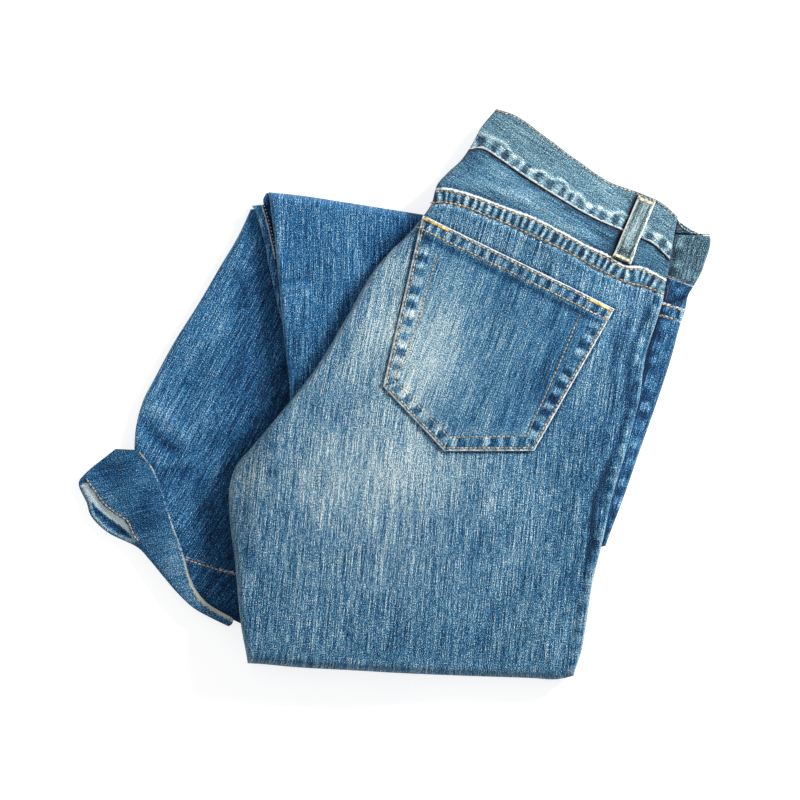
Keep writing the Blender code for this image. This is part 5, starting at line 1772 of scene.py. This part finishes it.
def polyline(points, step=2.0):
    """A line of straight runs, cut into short steps."""
    points = np.asarray(points, float)
    out = []
    for a, b in zip(points[:-1], points[1:]):
        count = max(2, int(np.linalg.norm(b - a) / step))
        out.append(a + (b - a) * np.linspace(0.0, 1.0, count, endpoint=False)[:, None])
    return np.vstack(out + [points[-1:]])


def inset_polygon(points, inset):
    """The runs of a polygon, each moved in to its left by an inset and met at the corners."""
    points = np.asarray(points, float)
    lines = []
    for a, b in zip(points[:-1], points[1:]):
        run = (b - a) / np.linalg.norm(b - a)
        normal = np.array([-run[1], run[0]])
        lines.append((a + normal * inset, run))
    out = [lines[0][0]]
    for (a, u), (b, v) in zip(lines[:-1], lines[1:]):
        t = np.linalg.solve(np.column_stack([u, -v]), b - a)[0]
        out.append(a + u * t)
    out.append(points[-1] + (lines[-1][0] - points[-2]))
    return np.array(out)


def build_topstitches(rows, pitch, thread, length=None, start=0.5, lift=0.1):
    def sew(line, face, seed, share=1.0):
        stitch_row(rows, line, face, pitch, thread * share, length, lift=lift, seed=seed, start=start)

    sew(moved(sampled(FELL_LINE, 200), FELL_SEWN), fell_face, 2)
    sew(moved(sampled(YOKE_LINE, 200), YOKE_SEWN), fell_face, 3)
    sew(moved(sampled(WAIST, 200), WAIST_SEWN), band_face, 4, 0.8)
    sew(polyline(inset_polygon(pocket_ring(), POCKET_SEWN)), pocket_face, 5)
    sew(polyline(POCKET_INNER), pocket_face, 6, 0.85)
    hem = pocket_hem()
    sew(polyline(inset_polygon(hem, POCKET_SEWN)), pocket_face, 7)
    sew(polyline(inset_polygon(hem, HEM_SEWN)), pocket_face, 8)
    sew(polyline([(191.0, 67.2), (199.0, 64.8), (209.5, 61.4)]), side_face, 9)
    sew(polyline([(190.0, 59.6), (198.0, 57.0), (207.0, 54.0)]), side_face, 10)
    sew(polyline(HEM_STITCH), lower_face, 11)
    sew(moved(sampled(Curve(ALLOWANCE_EDGE), 120), -0.7), turnup_face, 12)


# Sewn row inside the left waistband
INSIDE_SEWN = [
    (207.0, 126.4), (209.6, 123.0), (212.6, 120.6), (216.4, 118.7), (223.0, 117.5), (229.0, 116.9),
]


def build_bar_tacks(rows, thread):
    corner, far = np.array(POCKET["top_left"]), np.array(POCKET["top_right"])
    run = (far - corner) / np.linalg.norm(far - corner)
    down = np.array([run[1], -run[0]])
    for start, end in ((2.0, 21.0), (-20.5, -2.0)):
        base = corner if start > 0 else far
        line = polyline([base + run * start + down * 1.9, base + run * end + down * 1.9], 1.0)
        stitch_row(rows, line, pocket_face, 0.5, thread, length=2.3, turn=78.0, lift=0.25, seed=21)
    for at in (21.0, -20.5):
        base = corner if at > 0 else far
        line = polyline([base + run * at + down * 2.6, base + run * at + down * 9.2], 1.0)
        stitch_row(rows, line, pocket_face, 2.4, thread * 0.8, seed=22)
    stitch_row(rows, polyline(INSIDE_SEWN), inside_face, 2.6, thread, lift=0.3, seed=23)


def build_loop_tacks(rows, thread):
    distance = lengths(LOOP_MIDDLE)
    for at in (2.2, 50.5):
        t = float(np.interp(min(at, distance[-1] - 2.2), distance, np.linspace(0.0, 1.0, 101)))
        a, b = LOOP.left(t), LOOP.right(t)
        line = polyline([a + (b - a) * 0.06, a + (b - a) * 0.94], 1.0)
        stitch_row(rows, line, loop_face, 0.55, thread, length=2.6, turn=72.0, lift=0.2, seed=31)


def build_dark_stitches(rows, pitch, thread):
    line = polyline([(200.5, 82.0), (199.2, 75.0), (197.5, 68.5)])
    stitch_row(rows, line, side_face, pitch, thread, seed=41)


def build_overlock(rows, thread):
    line = polyline(OVERLOCK_LINE, 1.0)
    stitch_row(rows, line, strip_top, 1.5, thread * 1.2, length=1.7, turn=12.0, lift=0.15, seed=51)
    beside = moved(line, -1.6)
    stitch_row(rows, beside, strip_top, 2.7, thread, length=1.1, turn=58.0, lift=0.2, seed=52)


# Finishes of the cloth: tone, then what differs from plain denim
DENIMS = {
    "hidden_denim": (0.30, {"wash": 0.2}),
    "lower_leg_denim": (0.365, {"wash": 0.1, "worn_width": 0.7}),
    "hem_turnup_denim": (
        0.33, {"wash": 0.35, "worn_width": 1.15, "streaks": 0.55, "worn": (0.55, 0.55, 0.47)}),
    "middle_leg_denim": (0.375, {"wash": 0.1}),
    "middle_leg_strip_denim": (0.42, {"wash": 0.1}),
    "left_side_denim": (0.265, {"wash": 0.5, "worn_width": 0.8}),
    "left_top_denim": (0.165, {"wash": 0.8, "worn_width": 0.9, "greyed": 0.3}),
    "seat_denim": (0.40, {"streaks": 1.1}),
    "yoke_denim": (0.275, {"streaks": 0.7, "speckle": 0.9, "greyed": 0.12}),
    "band_denim": (0.285, {"worn_width": 1.7, "streaks": 0.75, "speckle": 0.95, "greyed": 0.24}),
    "pocket_denim": (0.39, {"worn_width": 1.15, "streaks": 0.8, "speckle": 0.9}),
    "loop_denim": (0.335, {"worn_width": 1.35, "worn": (0.78, 0.78, 0.70), "greyed": 0.5}),
}


class ClothOperator:
    """Builds and finishes the pieces of an operator.

    Each piece has a row: how it is built, its finish, its slot, the solids that it
    replaces, and the cut of what shows: width, length and area in m, and what it lies on.
    """

    def execute(self, context):
        made = {}
        for build, look, slot, nodes, cut in self.pieces:
            if look not in made:
                tone, rest = DENIMS[look]
                made[look] = denim(look, tone, **rest)
            finish(build(), made[look], slot, nodes, cut)
        return {"FINISHED"}


class TROUSERS_OT_lower_legs(ClothOperator, bpy.types.Operator):
    """Make the end of the right leg, the lowest fold level that shows"""

    bl_idname = "trousers.lower_legs"
    bl_label = "Lower legs"
    pieces = [
        (build_lower_leg, "lower_leg_denim", "lower_leg_denim", ["right_leg_lower"],
         (0.30, 0.33, 0.0672, ["hidden_lower_plies"])),
    ]


class TROUSERS_OT_turnup(ClothOperator, bpy.types.Operator):
    """Make the turned-up hem corner"""

    bl_idname = "trousers.turnup"
    bl_label = "Turned-up hem"
    pieces = [
        (build_turnup, "hem_turnup_denim", "hem_turnup_denim", ["right_leg_hem_turnup"],
         (0.06, 0.19, 0.0056, ["right_leg_end"])),
    ]


class TROUSERS_OT_middle_legs(ClothOperator, bpy.types.Operator):
    """Make the left leg past the thigh fold, and the strip of the right leg under it"""

    bl_idname = "trousers.middle_legs"
    bl_label = "Middle legs"
    pieces = [
        (build_middle_leg, "middle_leg_denim", "middle_leg_denim", ["left_leg_middle"],
         (0.24, 0.35, 0.0748, ["hidden_middle_plies"])),
        (build_strip, "middle_leg_strip_denim", "middle_leg_denim", ["right_leg_middle"],
         (0.013, 0.095, 0.00085, ["right_leg_end"])),
        (build_opening, "middle_leg_strip_denim", "middle_leg_denim", (),
         (0.01, 0.05, 0.00018, ["right_leg_under"])),
    ]


class TROUSERS_OT_seat(ClothOperator, bpy.types.Operator):
    """Make the right back panel and its yoke"""

    bl_idname = "trousers.seat"
    bl_label = "Seat and yoke"
    pieces = [
        (build_panel, "seat_denim", "seat_denim", ["right_back_panel"],
         (0.33, 0.36, 0.0885, ["hidden_seat_plies"])),
        (build_yoke, "yoke_denim", "seat_denim", ["right_back_yoke"],
         (0.19, 0.06, 0.0073, ["hidden_seat_plies"])),
    ]


class TROUSERS_OT_waistband(ClothOperator, bpy.types.Operator):
    """Make the right half of the waistband"""

    bl_idname = "trousers.waistband"
    bl_label = "Waistband"
    pieces = [
        (build_band, "band_denim", "band_denim", ["waistband_right"],
         (0.19, 0.04, 0.0056, ["hidden_seat_plies"])),
    ]


class TROUSERS_OT_pocket(ClothOperator, bpy.types.Operator):
    """Make the patch pocket"""

    bl_idname = "trousers.pocket"
    bl_label = "Back pocket"
    pieces = [
        (build_pocket, "pocket_denim", "pocket_denim", ["right_back_pocket"],
         (0.16, 0.155, 0.0185, ["seat_and_thigh_panel"])),
    ]


class TROUSERS_OT_loop(ClothOperator, bpy.types.Operator):
    """Make the belt loop at the side"""

    bl_idname = "trousers.loop"
    bl_label = "Belt loop"
    pieces = [
        (build_loop, "loop_denim", "loop_denim", ["side_belt_loop"],
         (0.015, 0.06, 0.00075, ["back_yoke", "waistband"])),
    ]


class TROUSERS_OT_left_side(ClothOperator, bpy.types.Operator):
    """Make the left half where it shows beside the right one"""

    bl_idname = "trousers.left_side"
    bl_label = "Left side"
    pieces = [
        (lambda: build_left("left_side_panel", SIDE_LOW, SIDE_YOKE), "left_side_denim",
         "left_side_denim", ["left_back_panel"], (0.03, 0.19, 0.0030, ["hidden_seat_plies"])),
        (lambda: build_left("left_side_yoke", SIDE_YOKE, SIDE_WAIST), "left_side_denim",
         "left_side_denim", ["left_back_yoke"], (0.04, 0.03, 0.0004, ["hidden_seat_plies"])),
        (lambda: build_left("left_side_waistband", SIDE_WAIST, SIDE_TOP), "left_top_denim",
         "band_denim", ["waistband_left"], (0.045, 0.05, 0.0011, ["hidden_seat_plies"])),
        (build_inside_band, "left_top_denim", "band_denim", (),
         (0.024, 0.0105, 0.00008, ["left_side_waistband"])),
    ]


class TROUSERS_OT_hidden_plies(ClothOperator, bpy.types.Operator):
    """Make the plies inside the stack"""

    bl_idname = "trousers.hidden_plies"
    bl_label = "Hidden plies"
    pieces = [
        (build_hidden_seat, "hidden_denim", "hidden_denim", ["seat_inner"], None),
        (build_hidden_middle, "hidden_denim", "hidden_denim", ["middle_legs_inner"], None),
        (build_hidden_lower, "hidden_denim", "hidden_denim", ["lower_legs_inner"], None),
    ]


class TROUSERS_OT_stitches(bpy.types.Operator):
    """Sew the topstitches, the tacks and the overlocked edge"""

    bl_idname = "trousers.stitches"
    bl_label = "Stitches"

    def execute(self, context):
        given, colours = sizes(), context.scene.trouser_colours
        pitch, thread = given.stitch_pitch / MM, given.thread / MM
        tack = given.tack_thread / MM
        for name, slot, colour, make in (
            ("topstitches", "seat_denim", colours.tan_thread,
             lambda rows: build_topstitches(rows, pitch, thread)),
            # painted shade: short dark spots in the needle holes between the topstitches
            ("needle_hole_shadows", "seat_denim", colours.needle_hole_shade,
             lambda rows: build_topstitches(rows, pitch, thread * 1.15, pitch * 0.34, 0.0, 0.12)),
            ("gold_threads", "pocket_denim", colours.gold_thread, lambda rows: build_bar_tacks(rows, tack)),
            ("loop_tacks", "loop_denim", colours.cream_thread, lambda rows: build_loop_tacks(rows, tack)),
            ("side_seam_stitches", "left_side_denim", colours.dark_thread,
             lambda rows: build_dark_stitches(rows, pitch, thread)),
            ("overlock_threads", "middle_leg_denim", colours.overlock_thread,
             lambda rows: build_overlock(rows, tack)),
        ):
            rows = []
            make(rows)
            thread_piece(rows, name, thread_finish(name + "_finish", colour), slot)
        return {"FINISHED"}


# Lights: name, place in m, width in m, power in W
LIGHTS = (
    ("key_light", (1.48, 1.04, 0.88), 0.45, 62.0), ("fill_light", (-0.5, 0.6, 2.0), 0.9, 3.0),
)
AIM = Vector((0.05, 0.0, 0.0))           # what the lights point at, m
WHITE = (1.0, 1.0, 1.0, 1.0)
FLOOR_GLOW, SKY_GLOW = 0.74, 0.42
SENSOR = 36.0                            # width of the camera's sensor, mm
CAMERA_X, CAMERA_Y = 0.00403, -0.00442   # m


class TROUSERS_OT_stage(bpy.types.Operator):
    """Make the floor, the lights and the camera"""

    bl_idname = "trousers.stage"
    bl_label = "Stage"

    def execute(self, context):
        given, colours = sizes(), context.scene.trouser_colours
        bm = bmesh.new()
        bmesh.ops.create_grid(bm, x_segments=1, y_segments=1, size=3.0)
        bmesh.ops.translate(bm, verts=bm.verts, vec=(0.0, 0.0, -0.0002))
        floor = put("floor", mesh_of(bm, "floor"))
        material, _, _ = new_material("pale_floor", {
            "Base Color": opaque(colours.floor), "Roughness": 0.9,
            "Emission Color": WHITE, "Emission Strength": FLOOR_GLOW})
        floor.data.materials.append(material)

        world = bpy.data.worlds.new("studio")
        world.use_nodes = True
        world.node_tree.nodes["Background"].inputs["Color"].default_value = WHITE
        world.node_tree.nodes["Background"].inputs["Strength"].default_value = SKY_GLOW
        context.scene.world = world
        for name, place, size, power in LIGHTS:
            data = bpy.data.lights.new(name, "AREA")
            data.size, data.energy = size, power
            lamp = put(name, data)
            lamp.location = place
            lamp.rotation_euler = (AIM - Vector(place)).to_track_quat("-Z", "Y").to_euler()

        data = bpy.data.cameras.new("camera")
        data.sensor_width = SENSOR
        data.lens = SENSOR * given.camera_height / given.view_width
        data.clip_end = 20.0
        camera = put("camera", data)
        camera.location = (CAMERA_X, CAMERA_Y, given.camera_height)
        context.scene.camera = camera
        context.scene.view_settings.view_transform = "Standard"
        return {"FINISHED"}


PIECES = (
    TROUSERS_OT_hidden_plies, TROUSERS_OT_lower_legs, TROUSERS_OT_turnup, TROUSERS_OT_middle_legs,
    TROUSERS_OT_left_side, TROUSERS_OT_seat, TROUSERS_OT_waistband, TROUSERS_OT_pocket,
    TROUSERS_OT_loop, TROUSERS_OT_stitches, TROUSERS_OT_stage,
)


class TROUSERS_PT_panel(bpy.types.Panel):
    """Lists the sizes, the colours and the pieces."""

    bl_label = "Folded denim trousers"
    bl_idname = "TROUSERS_PT_panel"
    bl_space_type = "VIEW_3D"
    bl_region_type = "UI"
    bl_category = "Trousers"

    def draw(self, context):
        for group in (context.scene.trouser_sizes, context.scene.trouser_colours):
            box = self.layout.box()
            for name in group.bl_rna.properties.keys():
                if name not in {"rna_type", "name"}:
                    box.prop(group, name)
        for piece in PIECES:
            self.layout.operator(piece.bl_idname)


CLASSES = (TrouserSizes, TrouserColours, *PIECES, TROUSERS_PT_panel)


def register():
    for cls in CLASSES:
        bpy.utils.register_class(cls)
    bpy.types.Scene.trouser_sizes = PointerProperty(type=TrouserSizes)
    bpy.types.Scene.trouser_colours = PointerProperty(type=TrouserColours)


def unregister():
    del bpy.types.Scene.trouser_colours
    del bpy.types.Scene.trouser_sizes
    for cls in reversed(CLASSES):
        bpy.utils.unregister_class(cls)


def main():
    register()
    for piece in PIECES:
        group, name = piece.bl_idname.split(".")
        result = getattr(getattr(bpy.ops, group), name)()
        if result != {"FINISHED"}:
            raise RuntimeError(piece.bl_label + " was not made")


if __name__ == "__main__":
    main()
